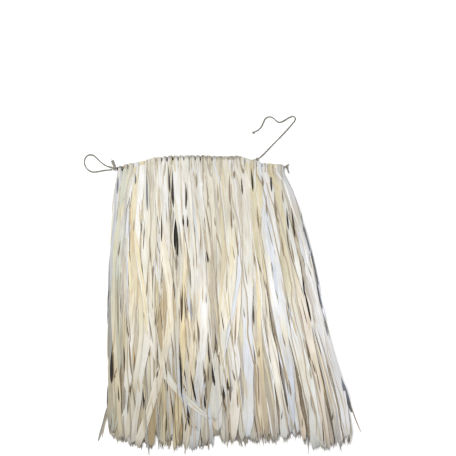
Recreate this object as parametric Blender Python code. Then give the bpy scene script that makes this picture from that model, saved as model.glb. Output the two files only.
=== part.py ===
# Grass skirt laid flat: thirty bundles of dried leaf strips, each folded over a
# waist cord and bound under it, with a fastening loop at the left end of the cord
# and a long tie knotted on near the right end.
#
# Metres. +Z is up from the surface that the skirt lies on, +Y runs from the hem to
# the waist. Each layer of the heap holds strips that lie side by side, and strips
# of different layers cross. Heights in the tables are Y positions.

import math
from collections import namedtuple

import bmesh
import bpy
from mathutils import Vector

# The waist
BUNDLE_COUNT = 30
WAIST_LEFT = -0.288
WAIST_RIGHT = 0.158
WAIST_TOP = 0.392
CORD_RADIUS = 0.0018
CORD_END = 0.0015             # bare cord beyond the outermost bundles
CORD_CLEARANCE = 0.0006
CORD_HOLE_SIDES = 8
CORD_RESOLUTION = 2           # roundness of every cord's tube
CORD_SHARP_ANGLE = 50.0       # degrees: the ends of a cord keep their rim

# The bound head of a bundle
HEAD_GAP = 0.0006             # between two heads
HEAD_BELOW_CORD = 0.021
HEAD_SKIN = 0.0003            # head outside its outer strips
HEAD_SIDE_SKIN = 0.0008
HEAD_ROUND_STEPS = 6
ROOT_BELOW_CORD = 0.010       # where a strip starts inside its head

# Strips and the layers that they lie in
STRIP_THICKNESS = 0.0010
LAYER_PITCH = 0.00135         # from layer to layer at the waist and the hem
LAYER_PITCH_MIDDLE = 0.00170  # the heap is loosest half way down
HEAD_LAYERS = 8
SIDE_GAP = 0.0005             # between strips of one layer, at least
NARROWEST_STRIP = 0.0040
OWN_DRIFT = 0.30              # of the spacing, how far a strip strays by itself
TIP_LIFT = 0.0008             # the ends just clear the surface
TIP_TAPER = 0.028
TIP_SHARE = 0.45              # of the width, left at the very end
TIP_SLANT = 0.006
HEM_HEIGHT = -0.374
HEM_SPREAD = 0.016            # a strip ends this much higher or lower
FIRST_ROW = 0.300             # the strips lie in order down to here
MIDDLE_ROW = -0.030
LAST_ROW = -0.400

# The free cords
TIE_RADIUS = 0.0018
TIE_POINT_STEP = 0.0095
ROUTE_PARTS = 12              # parts between two points of a route, before it is stepped
KNOT_GAP = 0.0003
LOOP_KNOT_RADIUS = 0.0062
LOOP_KNOT_FLATNESS = 0.80
STUB_LENGTH = 0.026
STUB_WIDTH = 0.0080
STUB_THICKNESS = 0.0045
STUB_SIDES = 8
STUB_END_SHARE = 1.25
STUB_OFFSET = 0.0015
STUB_LEAN = 0.36              # how far it leans towards the loop, as run over rise
TIE_KNOT_RADIUS = 0.0052
TIE_KNOT_SHARE = 0.8406       # where the long tie is knotted on, along the waist
END_KNOT_RADIUS = 0.0052
TAIL_KNOT_RADIUS = 0.0038
KNOT_FLATNESS = 0.90
KNOT_SEGMENTS = 12
KNOT_RINGS = 7
SAME_POINT = 0.00001          # corners nearer than this are one corner

HEAD_THICKNESS = 2.0 * HEAD_SKIN + (HEAD_LAYERS - 1) * LAYER_PITCH + STRIP_THICKNESS
HEAD_RADIUS = HEAD_THICKNESS / 2.0
CORD_HEIGHT = HEAD_RADIUS
BUNDLE_PITCH = (WAIST_RIGHT - WAIST_LEFT) / BUNDLE_COUNT
ROOT_HALF_WIDTH = BUNDLE_PITCH / 2.0 - HEAD_GAP / 2.0 - HEAD_SIDE_SKIN

# How far the waist line drops below its highest point, along its length
WaistRow = namedtuple("WaistRow", "share drop")
WAIST_LINE = (
    WaistRow(0.00, 0.0310),
    WaistRow(0.07, 0.0230),
    WaistRow(0.15, 0.0170),
    WaistRow(0.22, 0.0070),
    WaistRow(0.32, 0.0020),
    WaistRow(0.50, 0.0010),
    WaistRow(0.64, 0.0040),
    WaistRow(0.73, 0.0020),
    WaistRow(0.82, 0.0150),
    WaistRow(0.88, 0.0220),
    WaistRow(0.95, 0.0240),
    WaistRow(1.00, 0.0265),
)

# The skirt's two side edges
EdgeRow = namedtuple("EdgeRow", "height left right")
EDGES = (
    EdgeRow(0.300, -0.2950, 0.1760),
    EdgeRow(0.200, -0.3010, 0.2090),
    EdgeRow(0.100, -0.3060, 0.2350),
    EdgeRow(0.000, -0.3120, 0.2560),
    EdgeRow(-0.100, -0.3110, 0.2780),
    EdgeRow(-0.200, -0.3110, 0.3060),
    EdgeRow(-0.300, -0.3200, 0.3310),
    EdgeRow(-0.400, -0.3410, 0.3410),
)

# The layers with one strip from every bundle, from the surface up: rows of points
# above and below the middle, mean strip width, how far the whole layer leans
# sideways at the hem, and the ripple that crowds some strips and parts others
FullLayer = namedtuple("FullLayer", "rows_above rows_below width lean ripple waves phase tapered")
FULL_LAYERS = (
    FullLayer(1, 1, 0.0155, 0.030, 0.010, 3.0, 0.4, True),
    FullLayer(1, 1, 0.0150, -0.045, 0.012, 4.0, 1.9, False),
    FullLayer(1, 1, 0.0150, 0.050, 0.012, 2.0, 3.1, False),
    FullLayer(1, 1, 0.0150, -0.030, 0.014, 5.0, 0.9, False),
    FullLayer(2, 1, 0.0145, 0.040, 0.012, 3.0, 4.4, True),
    FullLayer(2, 2, 0.0140, -0.035, 0.013, 4.0, 2.6, True),
)

# The strips that show on top. Each row is one strip: its bundle, its middle line
# at four heights down the skirt, its width and where it ends
TopStrip = namedtuple("TopStrip", "bundle upper middle lower hem width end")
UPPER, MIDDLE, LOWER, HEM = 0.150, -0.050, -0.220, -0.370

EVEN_STRIPS = (
    TopStrip(2, -0.279, -0.246, -0.219, -0.206, 0.015, -0.377),
    TopStrip(4, -0.192, -0.148, -0.115, -0.094, 0.018, -0.386),
    TopStrip(6, -0.171, -0.127, -0.094, -0.071, 0.013, -0.380),
    TopStrip(8, -0.149, -0.107, -0.076, -0.054, 0.012, -0.372),
    TopStrip(10, -0.118, -0.084, -0.057, -0.036, 0.013, -0.383),
    TopStrip(12, -0.093, -0.064, -0.039, -0.018, 0.014, -0.370),
    TopStrip(14, -0.067, -0.043, -0.019, 0.003, 0.016, -0.379),
    TopStrip(16, -0.040, -0.022, 0.004, 0.026, 0.014, -0.368),
    TopStrip(18, -0.012, 0.004, 0.029, 0.050, 0.016, -0.374),
    TopStrip(20, 0.016, 0.035, 0.058, 0.076, 0.017, -0.376),
    TopStrip(22, 0.045, 0.064, 0.087, 0.103, 0.014, -0.366),
    TopStrip(24, 0.073, 0.096, 0.117, 0.135, 0.018, -0.378),
    TopStrip(26, 0.108, 0.138, 0.169, 0.190, 0.018, -0.384),
    TopStrip(28, 0.146, 0.190, 0.229, 0.260, 0.015, -0.380),
    TopStrip(30, 0.212, 0.256, 0.308, 0.331, 0.014, -0.362),
)
ODD_STRIPS = (
    TopStrip(1, -0.298, -0.306, -0.304, -0.333, 0.012, -0.376),
    TopStrip(3, -0.281, -0.287, -0.283, -0.300, 0.013, -0.378),
    TopStrip(5, -0.238, -0.249, -0.259, -0.276, 0.016, -0.372),
    TopStrip(7, -0.196, -0.206, -0.229, -0.251, 0.021, -0.384),
    TopStrip(9, -0.155, -0.166, -0.179, -0.196, 0.017, -0.389),
    TopStrip(11, -0.111, -0.112, -0.119, -0.131, 0.015, -0.388),
    TopStrip(13, -0.087, -0.081, -0.092, -0.104, 0.014, -0.393),
    TopStrip(15, -0.060, -0.057, -0.068, -0.081, 0.018, -0.390),
    TopStrip(17, -0.031, -0.034, -0.042, -0.052, 0.013, -0.378),
    TopStrip(19, -0.002, -0.008, -0.010, -0.017, 0.014, -0.369),
    TopStrip(21, 0.034, 0.029, 0.028, 0.023, 0.022, -0.380),
    TopStrip(23, 0.063, 0.060, 0.064, 0.061, 0.022, -0.367),
    TopStrip(25, 0.089, 0.114, 0.142, 0.159, 0.016, -0.371),
    TopStrip(27, 0.120, 0.170, 0.215, 0.241, 0.021, -0.388),
    TopStrip(29, 0.160, 0.218, 0.249, 0.271, 0.016, -0.386),
)
CROSSING_STRIPS = (
    TopStrip(2, -0.291, -0.297, -0.285, -0.277, 0.011, -0.371),
    TopStrip(4, -0.247, -0.222, -0.240, -0.264, 0.012, -0.378),
    TopStrip(8, -0.163, -0.144, -0.181, -0.229, 0.019, -0.387),
    TopStrip(10, -0.119, -0.129, -0.121, -0.066, 0.013, -0.330),
    TopStrip(20, 0.019, 0.000, -0.020, -0.034, 0.029, -0.340),
    TopStrip(24, 0.084, 0.092, 0.099, 0.116, 0.012, -0.374),
    TopStrip(27, 0.139, 0.156, 0.176, 0.178, 0.014, -0.377),
    TopStrip(29, 0.181, 0.233, 0.282, 0.309, 0.012, -0.370),
)
TOP_ROWS_ABOVE = 3
TOP_ROWS_BELOW = 2
CROSSING_LIFT = 0.0035        # how far a crossing strip rises between its rows

# Routes of the free cords, seen from above
CordPoint = namedtuple("CordPoint", "x y z")
LOOP_ROUTE = (
    CordPoint(-0.3022, 0.3526, 0.0050),
    CordPoint(-0.3100, 0.3514, 0.0030),
    CordPoint(-0.3195, 0.3506, 0.0019),
    CordPoint(-0.3290, 0.3492, 0.0019),
    CordPoint(-0.3375, 0.3476, 0.0019),
    CordPoint(-0.3460, 0.3462, 0.0019),
    CordPoint(-0.3550, 0.3462, 0.0019),
    CordPoint(-0.3640, 0.3500, 0.0019),
    CordPoint(-0.3715, 0.3575, 0.0019),
    CordPoint(-0.3758, 0.3670, 0.0019),
    CordPoint(-0.3758, 0.3770, 0.0019),
    CordPoint(-0.3720, 0.3860, 0.0019),
    CordPoint(-0.3640, 0.3915, 0.0019),
    CordPoint(-0.3545, 0.3912, 0.0019),
    CordPoint(-0.3460, 0.3860, 0.0019),
    CordPoint(-0.3390, 0.3790, 0.0019),
    CordPoint(-0.3315, 0.3720, 0.0019),
    CordPoint(-0.3235, 0.3657, 0.0019),
    CordPoint(-0.3160, 0.3617, 0.0022),
    CordPoint(-0.3090, 0.3595, 0.0034),
    CordPoint(-0.3022, 0.3583, 0.0050),
)
TAIL_ROUTE = (
    CordPoint(0.0916, 0.3839, 0.0048),
    CordPoint(0.0985, 0.3889, 0.0030),
    CordPoint(0.1065, 0.3965, 0.0019),
    CordPoint(0.1160, 0.4065, 0.0019),
    CordPoint(0.1265, 0.4175, 0.0019),
    CordPoint(0.1400, 0.4310, 0.0019),
    CordPoint(0.1540, 0.4455, 0.0019),
    CordPoint(0.1670, 0.4595, 0.0019),
    CordPoint(0.1790, 0.4735, 0.0019),
    CordPoint(0.1865, 0.4830, 0.0019),
    CordPoint(0.1880, 0.4905, 0.0019),
    CordPoint(0.1820, 0.4950, 0.0019),
    CordPoint(0.1735, 0.4925, 0.0019),
    CordPoint(0.1640, 0.4870, 0.0019),
    CordPoint(0.1540, 0.4810, 0.0019),
    CordPoint(0.1440, 0.4790, 0.0019),
    CordPoint(0.1360, 0.4840, 0.0019),
    CordPoint(0.1275, 0.4915, 0.0019),
    CordPoint(0.1170, 0.4935, 0.0019),
    CordPoint(0.1085, 0.4890, 0.0019),
    CordPoint(0.1035, 0.4800, 0.0019),
    CordPoint(0.0985, 0.4690, 0.0019),
    CordPoint(0.0900, 0.4590, 0.0019),
    CordPoint(0.0800, 0.4535, 0.0019),
)

# Colours: three pale leaves from cream to grey, one tan leaf, and the cord's fibre
LEAF_TONES = (
    (0.78, 0.74, 0.63),
    (0.72, 0.68, 0.58),
    (0.80, 0.77, 0.69),
    (0.66, 0.58, 0.42),
)
LEAF_ROUGHNESS = 0.55
CORD_TONE = (0.46, 0.38, 0.25)
CORD_ROUGHNESS = 0.80


def between(low, high, share):
    return low + (high - low) * share


def scatter(layer, number, salt):
    """A steady value from -1 to 1 that differs from strip to strip."""
    wave = math.sin(12.9898 * (layer + 1) + 78.233 * (number + 1) + 37.719 * salt)
    stretched = wave * 4375.85453
    return 2.0 * (stretched - math.floor(stretched)) - 1.0


def read_table(rows, key, column, place):
    """A column's value at a place between two rows of a table, on straight lines."""
    for upper, lower in zip(rows, rows[1:]):
        start, end = getattr(upper, key), getattr(lower, key)
        if (start - place) * (end - place) <= 0.0:
            share = (place - start) / (end - start)
            return between(getattr(upper, column), getattr(lower, column), share)
    return min(rows, key=lambda row: abs(place - getattr(row, key)))._asdict()[column]


def waist_x(share):
    return between(WAIST_LEFT, WAIST_RIGHT, share)


def waist_y(share):
    """The cord's middle line, as high as the bundles' round tops allow."""
    return WAIST_TOP - HEAD_RADIUS - read_table(WAIST_LINE, "share", "drop", share)


def edge_x(share, height):
    left = read_table(EDGES, "height", "left", height)
    right = read_table(EDGES, "height", "right", height)
    return between(left, right, share)


def smooth_through(knots, place):
    """A curve through (place, value) knots in falling order of place."""
    last = len(knots) - 1
    for index in range(last):
        start, end = knots[index], knots[index + 1]
        if place >= end[0] or index == last - 1:
            before = knots[max(index - 1, 0)]
            after = knots[min(index + 2, last)]
            span = end[0] - start[0]
            slope_in = (end[1] - before[1]) / (end[0] - before[0])
            slope_out = (after[1] - start[1]) / (after[0] - start[0])
            t = (place - start[0]) / span
            if t > 1.0:
                return end[1] + slope_out * (place - end[0])
            return (
                (2 * t**3 - 3 * t**2 + 1) * start[1]
                + (t**3 - 2 * t**2 + t) * span * slope_in
                + (3 * t**2 - 2 * t**3) * end[1]
                + (t**3 - t**2) * span * slope_out
            )


def row_heights(rows_above, rows_below):
    upper = [between(FIRST_ROW, MIDDLE_ROW, step / rows_above) for step in range(rows_above)]
    lower = [between(MIDDLE_ROW, LAST_ROW, step / rows_below) for step in range(rows_below + 1)]
    return upper + lower


def layer_base(layer, height):
    """Underside of a layer. The heap is loosest at the middle row."""
    if height >= MIDDLE_ROW:
        share = (FIRST_ROW - height) / (FIRST_ROW - MIDDLE_ROW)
        return layer * between(LAYER_PITCH, LAYER_PITCH_MIDDLE, share)
    share = (MIDDLE_ROW - height) / (MIDDLE_ROW - LAST_ROW)
    return layer * between(LAYER_PITCH_MIDDLE, LAYER_PITCH, share) + TIP_LIFT * share


def full_layer_middle(index, number, height):
    """Middle line of a strip in a full layer: its own lane, the layer's lean and its drift."""
    layer = FULL_LAYERS[index]
    share = (number + 0.5) / BUNDLE_COUNT
    down = (FIRST_ROW - height) / (FIRST_ROW - LAST_ROW)
    held = math.sin(math.pi * share)
    lean = layer.lean * held * down
    ripple = layer.ripple * held * math.sin(layer.waves * math.pi * share + layer.phase) * down * (2.0 - down)
    own = scatter(index, number, 1) * down + scatter(index, number, 2) * math.sin(math.pi * down)
    drift = OWN_DRIFT / BUNDLE_COUNT * own * (0.4 + 0.6 * held)
    return edge_x(share + lean + ripple + drift, height)


def top_strip_middle(strip, height):
    lane = (strip.bundle - 0.5) / BUNDLE_COUNT
    knots = (
        (FIRST_ROW, edge_x(lane, FIRST_ROW)),
        (UPPER, strip.upper),
        (MIDDLE, strip.middle),
        (LOWER, strip.lower),
        (HEM, strip.hem),
    )
    return smooth_through(knots, height)


def half_widths(middles, wanted):
    """Half of each strip's width, cut back where its neighbours lie close."""
    halves = []
    for number, middle in enumerate(middles):
        half = wanted[number] / 2.0
        if number > 0:
            half = min(half, (middle - middles[number - 1] - SIDE_GAP) / 2.0)
        if number < len(middles) - 1:
            half = min(half, (middles[number + 1] - middle - SIDE_GAP) / 2.0)
        if 2.0 * half < NARROWEST_STRIP:
            raise ValueError(f"strip {number} is squeezed to {2000.0 * half:.1f} mm")
        halves.append(half)
    return halves


def strip_sections(bundle, layer, slot, heights, middles, halves, end, tapered, salt):
    """Cross-sections down one strip: its middle, half width, slant of the edges and underside."""
    share = (bundle - 0.5) / BUNDLE_COUNT
    root_y = waist_y(share) - ROOT_BELOW_CORD
    root_z = HEAD_SKIN + slot * LAYER_PITCH
    neck_y = waist_y(share) - HEAD_BELOW_CORD - STRIP_THICKNESS
    sections = [
        (waist_x(share), ROOT_HALF_WIDTH, root_y, 0.0, root_z),
        (waist_x(share), ROOT_HALF_WIDTH, neck_y, 0.0, root_z),
    ]
    for height, middle, half in zip(heights, middles, halves):
        if height == FIRST_ROW:
            half = min(half, ROOT_HALF_WIDTH)
        if height > end:
            sections.append((middle, half, height, 0.0, layer_base(layer, height)))
    last = len([height for height in heights if height > end])
    ends = [end + TIP_TAPER, end] if tapered else [end]
    for tip_height in ends:
        along = (heights[last - 1] - tip_height) / (heights[last - 1] - heights[last])
        if along <= 0.0:
            continue
        middle = between(middles[last - 1], middles[last], along)
        half = between(halves[last - 1], halves[last], along)
        slant = 0.0
        if tip_height == end:
            half *= between(TIP_SHARE, 1.0, 0.5 + 0.5 * scatter(layer, salt, 5))
            slant = TIP_SLANT * scatter(layer, salt, 6)
        sections.append((middle, half, tip_height, slant, layer_base(layer, tip_height)))
    return sections


def lift_between_rows(sections, lift):
    """Raise the inner sections of a strip that nothing lies on."""
    raised = []
    first, last = 3, len(sections) - 2
    for index, (middle, half, height, slant, base) in enumerate(sections):
        if first <= index <= last:
            base += lift * math.sin(math.pi * (index - first + 0.5) / (last - first + 1))
        raised.append((middle, half, height, slant, base))
    return raised


def full_layer_strips(index):
    """All strips of one full layer, by bundle number."""
    layer = FULL_LAYERS[index]
    heights = row_heights(layer.rows_above, layer.rows_below)
    wanted = [layer.width * (1.0 + 0.30 * scatter(index, number, 3)) for number in range(BUNDLE_COUNT)]
    rows = []
    for height in heights:
        middles = [full_layer_middle(index, number, height) for number in range(BUNDLE_COUNT)]
        rows.append((middles, half_widths(middles, wanted)))
    strips = {}
    for number in range(BUNDLE_COUNT):
        middles = [row[0][number] for row in rows]
        halves = [row[1][number] for row in rows]
        end = HEM_HEIGHT + HEM_SPREAD * scatter(index, number, 4)
        strips[number + 1] = strip_sections(
            number + 1, index, index, heights, middles, halves, end, layer.tapered, number
        )
    return strips


def top_layer_strips(table, layer, slot, lift):
    """The strips of one table, by bundle number."""
    heights = row_heights(TOP_ROWS_ABOVE, TOP_ROWS_BELOW)
    wanted = [strip.width for strip in table]
    rows = []
    for height in heights:
        middles = [top_strip_middle(strip, height) for strip in table]
        rows.append((middles, half_widths(middles, wanted)))
    strips = {}
    for number, strip in enumerate(table):
        middles = [row[0][number] for row in rows]
        halves = [row[1][number] for row in rows]
        sections = strip_sections(strip.bundle, layer, slot, heights, middles, halves, strip.end, True, number)
        strips[strip.bundle] = lift_between_rows(sections, lift * (0.6 + 0.4 * scatter(layer, number, 7)))
    return strips


def add_strip(mesh, sections):
    """One closed strip of four sides, from its root to its cut end."""
    rings = []
    for middle, half, height, slant, base in sections:
        corners = (
            (middle - half, height - slant, base),
            (middle + half, height + slant, base),
            (middle + half, height + slant, base + STRIP_THICKNESS),
            (middle - half, height - slant, base + STRIP_THICKNESS),
        )
        rings.append([mesh.verts.new(corner) for corner in corners])
    for upper, lower in zip(rings, rings[1:]):
        for side in range(4):
            following = (side + 1) % 4
            mesh.faces.new((upper[side], upper[following], lower[following], lower[side]))
    mesh.faces.new(reversed(rings[0]))
    mesh.faces.new(rings[-1])


def make_material(name, tone, roughness):
    material = bpy.data.materials.new(name)
    material.use_nodes = True
    shader = material.node_tree.nodes["Principled BSDF"]
    shader.inputs["Base Color"].default_value = (*tone, 1.0)
    shader.inputs["Roughness"].default_value = roughness
    shader.inputs["Metallic"].default_value = 0.0
    material.diffuse_color = (*tone, 1.0)
    return material


def add_object(name, mesh, collection, material):
    piece = bpy.data.objects.new(name, mesh)
    piece.data.materials.clear()
    piece.data.materials.append(material)
    collection.objects.link(piece)
    return piece


def evaluated_mesh(piece):
    graph = bpy.context.evaluated_depsgraph_get()
    return bpy.data.meshes.new_from_object(piece.evaluated_get(graph), depsgraph=graph)


def head_mesh(number, collection):
    """Bound head: a rounded outline with the cord's hole, nearly as wide as its share of the waist."""
    left_share = (number - 1) / BUNDLE_COUNT
    right_share = number / BUNDLE_COUNT
    width = BUNDLE_PITCH - HEAD_GAP
    outline = bpy.data.curves.new("head_outline", "CURVE")
    outline.dimensions = "2D"
    outline.fill_mode = "BOTH"
    outline.extrude = width / 2.0
    points = []
    for step in range(HEAD_ROUND_STEPS + 1):
        turn = math.pi * step / HEAD_ROUND_STEPS
        points.append((HEAD_RADIUS * math.sin(turn), HEAD_RADIUS * math.cos(turn)))
    points.append((-HEAD_BELOW_CORD, -HEAD_RADIUS))
    points.append((-HEAD_BELOW_CORD, HEAD_RADIUS))
    hole_radius = (CORD_RADIUS + CORD_CLEARANCE) / math.cos(math.pi / CORD_HOLE_SIDES)
    hole = []
    for step in range(CORD_HOLE_SIDES):
        turn = 2.0 * math.pi * (step + 0.5) / CORD_HOLE_SIDES
        hole.append((hole_radius * math.cos(turn), hole_radius * math.sin(turn)))
    for ring in (points, hole):
        spline = outline.splines.new("POLY")
        spline.points.add(len(ring) - 1)
        for point, (across, up) in zip(spline.points, ring):
            point.co = (across, up, 0.0, 1.0)
        spline.use_cyclic_u = True
    guide = bpy.data.objects.new("head_outline", outline)
    collection.objects.link(guide)
    mesh = evaluated_mesh(guide)
    bpy.data.objects.remove(guide, do_unlink=True)
    slope = (waist_y(right_share) - waist_y(left_share)) * BUNDLE_COUNT / (WAIST_RIGHT - WAIST_LEFT)
    middle_x = waist_x((left_share + right_share) / 2.0)
    middle_y = (waist_y(left_share) + waist_y(right_share)) / 2.0
    body = bmesh.new()
    body.from_mesh(mesh)
    bmesh.ops.remove_doubles(body, verts=body.verts, dist=SAME_POINT)
    for vertex in body.verts:
        along, up, across = vertex.co
        vertex.co = (middle_x + across, middle_y + along + slope * across, CORD_HEIGHT + up)
    bmesh.ops.recalc_face_normals(body, faces=body.faces)
    body.to_mesh(mesh)
    body.free()
    return mesh


def make_bundle(number, strips, collection, cutters, material):
    """One bundle: its head with the roots of its strips joined into it."""
    bundle = add_object(f"bundle_{number:02d}", head_mesh(number, collection), collection, material)
    body = bmesh.new()
    for sections in strips:
        add_strip(body, sections)
    bmesh.ops.recalc_face_normals(body, faces=body.faces)
    mesh = bpy.data.meshes.new("strips")
    body.to_mesh(mesh)
    body.free()
    joined = bpy.data.objects.new("strips", mesh)
    joined.hide_render = True
    joined.display_type = "WIRE"
    cutters.objects.link(joined)
    union = bundle.modifiers.new("roots", "BOOLEAN")
    union.operation = "UNION"
    union.solver = "EXACT"
    union.object = joined
    bundle.data = evaluated_mesh(bundle)
    bundle.modifiers.clear()
    bpy.data.objects.remove(joined, do_unlink=True)
    return bundle


def make_tube(name, points, radius, collection, material):
    """A cord along straight runs between points, its ends filled."""
    route = bpy.data.curves.new(name, "CURVE")
    route.dimensions = "3D"
    route.bevel_depth = radius
    route.bevel_resolution = CORD_RESOLUTION
    route.use_fill_caps = True
    spline = route.splines.new("POLY")
    spline.points.add(len(points) - 1)
    for point, place in zip(spline.points, points):
        point.co = (*place, 1.0)
        point.radius = 1.0
    guide = bpy.data.objects.new(name + "_route", route)
    collection.objects.link(guide)
    mesh = evaluated_mesh(guide)
    bpy.data.objects.remove(guide, do_unlink=True)
    body = bmesh.new()
    body.from_mesh(mesh)
    bmesh.ops.remove_doubles(body, verts=body.verts, dist=SAME_POINT)
    bmesh.ops.recalc_face_normals(body, faces=body.faces)
    body.to_mesh(mesh)
    body.free()
    mesh.shade_smooth()
    mesh.set_sharp_from_angle(angle=math.radians(CORD_SHARP_ANGLE))
    return add_object(name, mesh, collection, material)


def smooth_route(route, step):
    """Evenly spaced points on a smooth curve through a route's own points."""
    anchors = [Vector(point) for point in route]
    dense = []
    for index in range(len(anchors) - 1):
        before = anchors[max(index - 1, 0)]
        start, end = anchors[index], anchors[index + 1]
        after = anchors[min(index + 2, len(anchors) - 1)]
        for part in range(ROUTE_PARTS):
            t = part / ROUTE_PARTS
            dense.append(
                0.5 * (
                    2.0 * start
                    + (end - before) * t
                    + (2.0 * before - 5.0 * start + 4.0 * end - after) * t**2
                    + (3.0 * start - before - 3.0 * end + after) * t**3
                )
            )
    dense.append(anchors[-1])
    lengths = [0.0]
    for start, end in zip(dense, dense[1:]):
        lengths.append(lengths[-1] + (end - start).length)
    count = max(2, round(lengths[-1] / step))
    points = []
    index = 0
    for number in range(count + 1):
        wanted = lengths[-1] * number / count
        while index < len(dense) - 2 and lengths[index + 1] < wanted:
            index += 1
        share = (wanted - lengths[index]) / (lengths[index + 1] - lengths[index])
        points.append(dense[index].lerp(dense[index + 1], share))
    return points


def knot_mesh(radius, flatness):
    """A round knot, pressed a little flat, lying in its own frame."""
    body = bmesh.new()
    bmesh.ops.create_uvsphere(body, u_segments=KNOT_SEGMENTS, v_segments=KNOT_RINGS, radius=radius)
    for vertex in body.verts:
        vertex.co.z *= flatness
    mesh = bpy.data.meshes.new("knot")
    body.to_mesh(mesh)
    body.free()
    mesh.shade_smooth()
    return mesh


def make_knot(name, radius, flatness, place, collection, material):
    knot = add_object(name, knot_mesh(radius, flatness), collection, material)
    knot.location = place
    return knot


def make_loop_knot(collection, cutters, material):
    """The knot at the cord's left end with the short frayed stub that stands up from it."""
    place = Vector((WAIST_LEFT - CORD_END - KNOT_GAP - LOOP_KNOT_RADIUS, waist_y(0.0), CORD_HEIGHT))
    knot = make_knot("loop_knot", LOOP_KNOT_RADIUS, LOOP_KNOT_FLATNESS, place, collection, material)
    bpy.ops.mesh.primitive_cone_add(
        vertices=STUB_SIDES, radius1=0.5, radius2=0.5 * STUB_END_SHARE, depth=1.0,
        location=place + Vector((STUB_OFFSET, STUB_LENGTH / 2.0, 0.0)),
    )
    stub = bpy.context.object
    stub.name = "stub"
    for owner in list(stub.users_collection):
        owner.objects.unlink(stub)
    cutters.objects.link(stub)
    for vertex in stub.data.vertices:
        across, out, up = vertex.co
        lean = STUB_LEAN * (up + 0.5) * STUB_LENGTH
        vertex.co = (across * STUB_WIDTH - lean, up * STUB_LENGTH, out * STUB_THICKNESS)
    stub.hide_render = True
    stub.display_type = "WIRE"
    union = knot.modifiers.new("stub", "BOOLEAN")
    union.operation = "UNION"
    union.solver = "EXACT"
    union.object = stub
    bpy.context.view_layer.update()
    knot.data = evaluated_mesh(knot)
    knot.modifiers.clear()
    bpy.data.objects.remove(stub, do_unlink=True)
    return knot


def tie_knot_place():
    """The tie's knot sits against the round tops of the bundles it is tied between."""
    near = 0.5 / BUNDLE_COUNT
    run = 2.0 * near * (WAIST_RIGHT - WAIST_LEFT)
    rise = waist_y(TIE_KNOT_SHARE + near) - waist_y(TIE_KNOT_SHARE - near)
    tilt = math.atan2(rise, run)
    seat = (HEAD_RADIUS + TIE_KNOT_RADIUS + KNOT_GAP) / math.cos(tilt)
    return Vector((waist_x(TIE_KNOT_SHARE), waist_y(TIE_KNOT_SHARE) + seat, CORD_HEIGHT))


def waist_cord_points():
    points = [(WAIST_LEFT - CORD_END, waist_y(0.0), CORD_HEIGHT)]
    for step in range(BUNDLE_COUNT + 1):
        share = step / BUNDLE_COUNT
        points.append((waist_x(share), waist_y(share), CORD_HEIGHT))
    points.append((WAIST_RIGHT + CORD_END, waist_y(1.0), CORD_HEIGHT))
    return points


def centre_on_origin(pieces, loose):
    """Hang every piece on one empty, so that the skirt without its ties is centred."""
    bpy.context.view_layer.update()
    corners = []
    for piece in pieces:
        if piece not in loose:
            corners += [piece.matrix_world @ vertex.co for vertex in piece.data.vertices]
    middle_x = (min(corner.x for corner in corners) + max(corner.x for corner in corners)) / 2.0
    middle_y = (min(corner.y for corner in corners) + max(corner.y for corner in corners)) / 2.0
    lowest = min(corner.z for corner in corners)
    centre = bpy.data.objects.new("skirt_centre", None)
    pieces[0].users_collection[0].objects.link(centre)
    for piece in pieces:
        piece.parent = centre
    centre.location = (-middle_x, -middle_y, -lowest)
    bpy.context.view_layer.update()
    print(f"skirt centred by {-middle_x:.5f}, {-middle_y:.5f}, {-lowest:.5f}")


def main():
    for old in list(bpy.data.objects):
        bpy.data.objects.remove(old, do_unlink=True)
    skirt = bpy.data.collections.new("grass_skirt")
    cutters = bpy.data.collections.new("cutters")
    bpy.context.scene.collection.children.link(skirt)
    bpy.context.scene.collection.children.link(cutters)
    leaf = [
        make_material(f"leaf_{number}", tone, LEAF_ROUGHNESS) for number, tone in enumerate(LEAF_TONES, 1)
    ]
    fibre = make_material("cord_fibre", CORD_TONE, CORD_ROUGHNESS)

    layers = [full_layer_strips(index) for index in range(len(FULL_LAYERS))]
    top = len(FULL_LAYERS)
    layers.append(top_layer_strips(EVEN_STRIPS, top, top, 0.0))
    layers.append(top_layer_strips(ODD_STRIPS, top + 1, top, 0.0))
    layers.append(top_layer_strips(CROSSING_STRIPS, top + 2, top + 1, CROSSING_LIFT))

    pieces = []
    for number in range(1, BUNDLE_COUNT + 1):
        strips = [layer[number] for layer in layers if number in layer]
        material = leaf[(number * 7) % len(leaf)]
        pieces.append(make_bundle(number, strips, skirt, cutters, material))

    pieces.append(make_tube("waist_cord", waist_cord_points(), CORD_RADIUS, skirt, fibre))
    pieces.append(make_loop_knot(skirt, cutters, fibre))
    end_place = Vector((WAIST_RIGHT + CORD_END + END_KNOT_RADIUS + KNOT_GAP, waist_y(1.0), CORD_HEIGHT))
    pieces.append(make_knot("end_knot", END_KNOT_RADIUS, KNOT_FLATNESS, end_place, skirt, fibre))
    pieces.append(make_knot("tie_knot", TIE_KNOT_RADIUS, KNOT_FLATNESS, tie_knot_place(), skirt, fibre))
    loop = make_tube("tie_loop", smooth_route(LOOP_ROUTE, TIE_POINT_STEP), TIE_RADIUS, skirt, fibre)
    tail = make_tube("tie_tail", smooth_route(TAIL_ROUTE, TIE_POINT_STEP), TIE_RADIUS, skirt, fibre)
    tail_end = Vector(TAIL_ROUTE[-1])
    heading = (tail_end - Vector(TAIL_ROUTE[-2])).normalized()
    tail_place = tail_end + heading * (TAIL_KNOT_RADIUS + KNOT_GAP)
    tail_place.z = TAIL_KNOT_RADIUS * KNOT_FLATNESS
    tail_knot = make_knot("tail_knot", TAIL_KNOT_RADIUS, KNOT_FLATNESS, tail_place, skirt, fibre)
    pieces += [loop, tail, tail_knot]
    centre_on_origin(pieces, [loop, tail, tail_knot])


main()
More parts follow.
